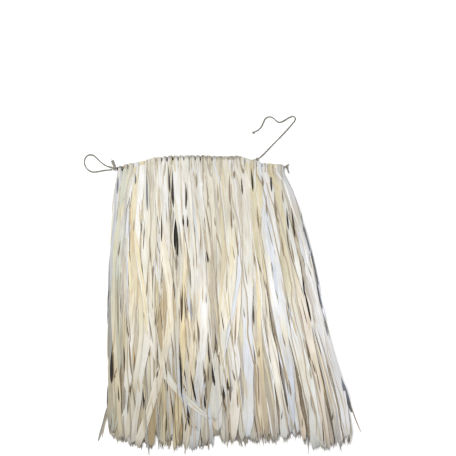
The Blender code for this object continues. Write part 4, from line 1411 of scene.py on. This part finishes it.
def layOpenings(wide):
    # a wide opening shows a deep piece low in the heap, a narrow one a sliver between the upper strips: both
    # dark, painted shadow
    reach, share = (openingLook["reach"], openingLook["wider"]) if wide else (0.0, 1.0)
    for number, (topX, topY, lowX, lowY, width, tone) in enumerate(openings):
        if (width >= strips["narrowOpening"]) == wide:
            layBlade(
                bundleNear(topX, topY), 700.0 + number, topX, topY + reach, lowX, lowY - reach,
                width * share, tones[tone], 0.0, openingLook["bend"] * scatter(40, number, 1),
            )


# where the short pieces lie across the skirt, how far they slant, and how many take the first tone
shortLook = {"shares": (0.03, 0.97), "slant": 0.012, "firstTone": 0.35}


def scatterSlivers(look):
    # short pieces between the upper strips: dark slivers whose near-black ones paint the shadow of small
    # gaps, and golden streaks
    salt = look["salt"]
    for number in range(look["count"]):
        share = between(*shortLook["shares"], chance(salt, number, 1))
        topY = between(look["from"], look["to"], chance(salt, number, 2) ** 0.9)
        lowY = topY - between(*look["lengths"], chance(salt, number, 3))
        slant = shortLook["slant"] * scatter(salt, number, 4)
        topX, lowX = edgeX(share, topY), edgeX(share + slant, lowY)
        wider = look["wider"] if topY < look["widerBelow"] else 1.0
        width = between(*look["widths"], chance(salt, number, 5)) * wider
        paler = tones[look["paler"][chance(salt, number, 7) > shortLook["firstTone"]]]
        tone = between(np.array(tones[look["darkest"]]), np.array(paler), chance(salt, number, 6) ** 0.6)
        seed = 10.0 * salt + number
        layBlade(bundleNear(topX, topY), seed, topX, topY, lowX, lowY, width, tone, 0.0, 0.0)


# dark slivers: painted shadow of small gaps, shading off into brown and golden leaf
shadowSlivers = {
    "salt": 60,
    "count": 120,
    "from": 0.335,
    "to": -0.320,
    "lengths": (0.022, 0.090),
    "widths": (0.0013, 0.0032),
    "wider": 1.7,
    "widerBelow": -0.080,
    "darkest": "deep",
    "paler": ("golden", "brown"),
}
streaks = {
    "salt": 80,
    "count": 55,
    "from": 0.330,
    "to": -0.300,
    "lengths": (0.040, 0.110),
    "widths": (0.0022, 0.0046),
    "wider": 1.1,
    "widerBelow": -0.080,
    "darkest": "amber",
    "paler": ("golden", "tan"),
}

# the heap from the bottom up: layer, the radius at which it goes round the cord, whether it lies
# in front, how much painted shade darkens it towards brown, and how wide
layFullLayer(0, 0.0050, False, 0.0, 1.0)
layThinStrips(20, 0, 0.0046, 26, False, 0.1, (0.004, 0.009))
layFullLayer(1, 0.0042, False, 0.4, 1.0)
layFullLayer(2, 0.0034, False, 0.75, 1.0)
layFullLayer(3, 0.0028, True, 0.80, 0.9)
layOpenings(True)
layThinStrips(21, 3, 0.0030, 30, True, 0.6, (0.003, 0.008))
layFullLayer(4, 0.0036, True, 0.35, 1.0)
layThinStrips(22, 4, 0.0040, 40, True, 0.25, (0.003, 0.008))
layFullLayer(5, 0.0043, True, 0.08, 1.0)
layThinStrips(23, 5, 0.0046, 34, True, 0.1, (0.003, 0.007))
layTable(evenStrips, 6, 0.0050, True, 1.20)
layThinStrips(24, 4, 0.0052, 24, True, 0.0, (0.0025, 0.006))
layTable(oddStrips, 7, 0.0050, True, 1.20)
layTable(slantingStrips, 9, 0.0054, False, 1.0)
layTable(crossingStrips, 8, 0.0054, False, 1.05)
layThinStrips(25, 5, 0.0057, 28, True, 0.0, (0.0015, 0.0040))
layOpenings(False)
for number, (*route, width, tone) in enumerate(goldenLengths):
    layBlade(bundleNear(*route[:2]), 780.0 + number, *route, width, tones[tone], 0.0, 0.002)
scatterSlivers(streaks)
scatterSlivers(shadowSlivers)
for number, (bundle, *route, width, tone) in enumerate(strays):
    bend = 0.002 * scatter(41, number, 1)
    layBlade(bundle - 1, 740.0 + number, *route, width, tones[tone], 0.4, bend)
print("stage 5: the strips are laid; the heap is", round(float(heapTop.max()) * 1000.0, 1), "mm high")


# the wrap that binds each head close under the cord
wraps = {
    "below": 0.0052,
    "half": 0.0073,
    "height": 0.0060,
    "radius": 0.0046,
    "thickness": 0.0003,
    "squareness": 0.45,
    "offPlace": 0.0010,
    "tilt": 0.20,
    "points": 28,
    # near-black, darker than the cord it is made of: painted shade for the gaps between the loops where it
    # shows
    "tone": (0.050, 0.042, 0.032),
    # its section: across the band, and how far it stands out
    "section": ((-1.0, 0.0), (-0.6, 1.0), (0.0, 1.4), (0.6, 1.0), (1.0, 0.0), (0.0, -0.5), (-1.0, 0.0)),
}


def layWrap(bundle):
    share = (bundle + 0.5) / waist["bundles"]
    middleY = waistY(share) - wraps["below"] + wraps["offPlace"] * scatter(30, bundle, 1)
    middle = np.array([waistX(share), middleY, cordHeight])
    turns = np.linspace(0.0, 2.0 * math.pi, wraps["points"] + 1)[:-1]
    ringX, ringZ = (
        np.sign(wave) * np.abs(wave) ** wraps["squareness"] * reach
        for wave, reach in ((np.cos(turns), wraps["half"]), (np.sin(turns), wraps["radius"] - 0.0002))
    )
    tilt = wraps["tilt"] * scatter(30, bundle, 2)
    rows = []
    for across, out in wraps["section"]:
        swell = out * wraps["thickness"]
        y = across * wraps["height"] / 2.0 + tilt * ringX
        swollen = (ringX * (1.0 + swell / wraps["half"]), y, ringZ * (1.0 + swell / wraps["radius"]))
        rows.append(np.stack(swollen, axis=1))
    grid = np.array(rows) + middle
    grid[:, :, 2] = np.maximum(grid[:, :, 2], lowest["wrap"])
    onWrap = np.linspace(-0.002, 0.002, len(rows))[:, None]
    bundleBuilders[bundle].addGrid(
        grid[::-1], onWrap, turns * 0.004, 500.0 + bundle, wraps["tone"], False,
    )


for bundle in range(waist["bundles"]):
    layWrap(bundle)

for bundle, builder in enumerate(bundleBuilders):
    corners = np.array(builder.corners)
    corners[:, 2] -= (1.0 - strips["pressedShare"]) * np.maximum(0.0, corners[:, 2] - strips["pressedFrom"])
    builder.corners = (corners + np.array(shift)).tolist()
    piece = builder.finish(f"leafBundle_{bundle + 1:02d}", leafMaterial, "dried_leaf", strips["crisp"])
    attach(piece, "root")
    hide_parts(f"bundle_{bundle + 1:02d}")
triangles = sum(2 * len(piece.data.polygons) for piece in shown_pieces() if piece.type == "MESH")
print("stage 6: the bundles are made; about", triangles, "triangles")


studio = {
    "floorSize": 6.0,
    "floorTone": (0.70, 0.70, 0.70, 1.0),
    "floorGlow": 0.36,
    "skyStrength": 0.50,
    "keySize": 0.9,
    "keyPower": 90.0,
    "keyPlace": (-1.0, 1.3, 2.8),
}


def makeFloor(look):
    side = look["floorSize"] / 2.0
    mesh = bpy.data.meshes.new("floor")
    corners = [(-side, -side, 0.0), (side, -side, 0.0), (side, side, 0.0), (-side, side, 0.0)]
    mesh.from_pydata(corners, [], [(0, 1, 2, 3)])
    floor = bpy.data.objects.new("floor", mesh)
    paper = Finish("paleFloor", {
        "Base Color": look["floorTone"], "Roughness": 0.9, "Specular IOR Level": 0.1,
        "Emission Color": (1.0, 1.0, 1.0, 1.0), "Emission Strength": look["floorGlow"],
    })
    floor.data.materials.append(paper.material)
    bpy.context.scene.collection.objects.link(floor)
    floor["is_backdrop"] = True


def makeLight(look):
    world = bpy.data.worlds.new("studio")
    world.use_nodes = True
    world.node_tree.nodes["Background"].inputs["Color"].default_value = (1.0, 1.0, 1.0, 1.0)
    world.node_tree.nodes["Background"].inputs["Strength"].default_value = look["skyStrength"]
    bpy.context.scene.world = world
    key = bpy.data.objects.new("keyLight", bpy.data.lights.new("keyLight", "AREA"))
    key.data.size = look["keySize"]
    key.data.energy = look["keyPower"]
    key.location = look["keyPlace"]
    key.rotation_mode = "QUATERNION"
    key.rotation_quaternion = Vector(look["keyPlace"]).to_track_quat("Z", "Y")
    bpy.context.scene.collection.objects.link(key)
    bpy.context.scene.view_settings.view_transform = "Standard"


makeFloor(studio)
makeLight(studio)

print("stage 7: the floor and lights are made")
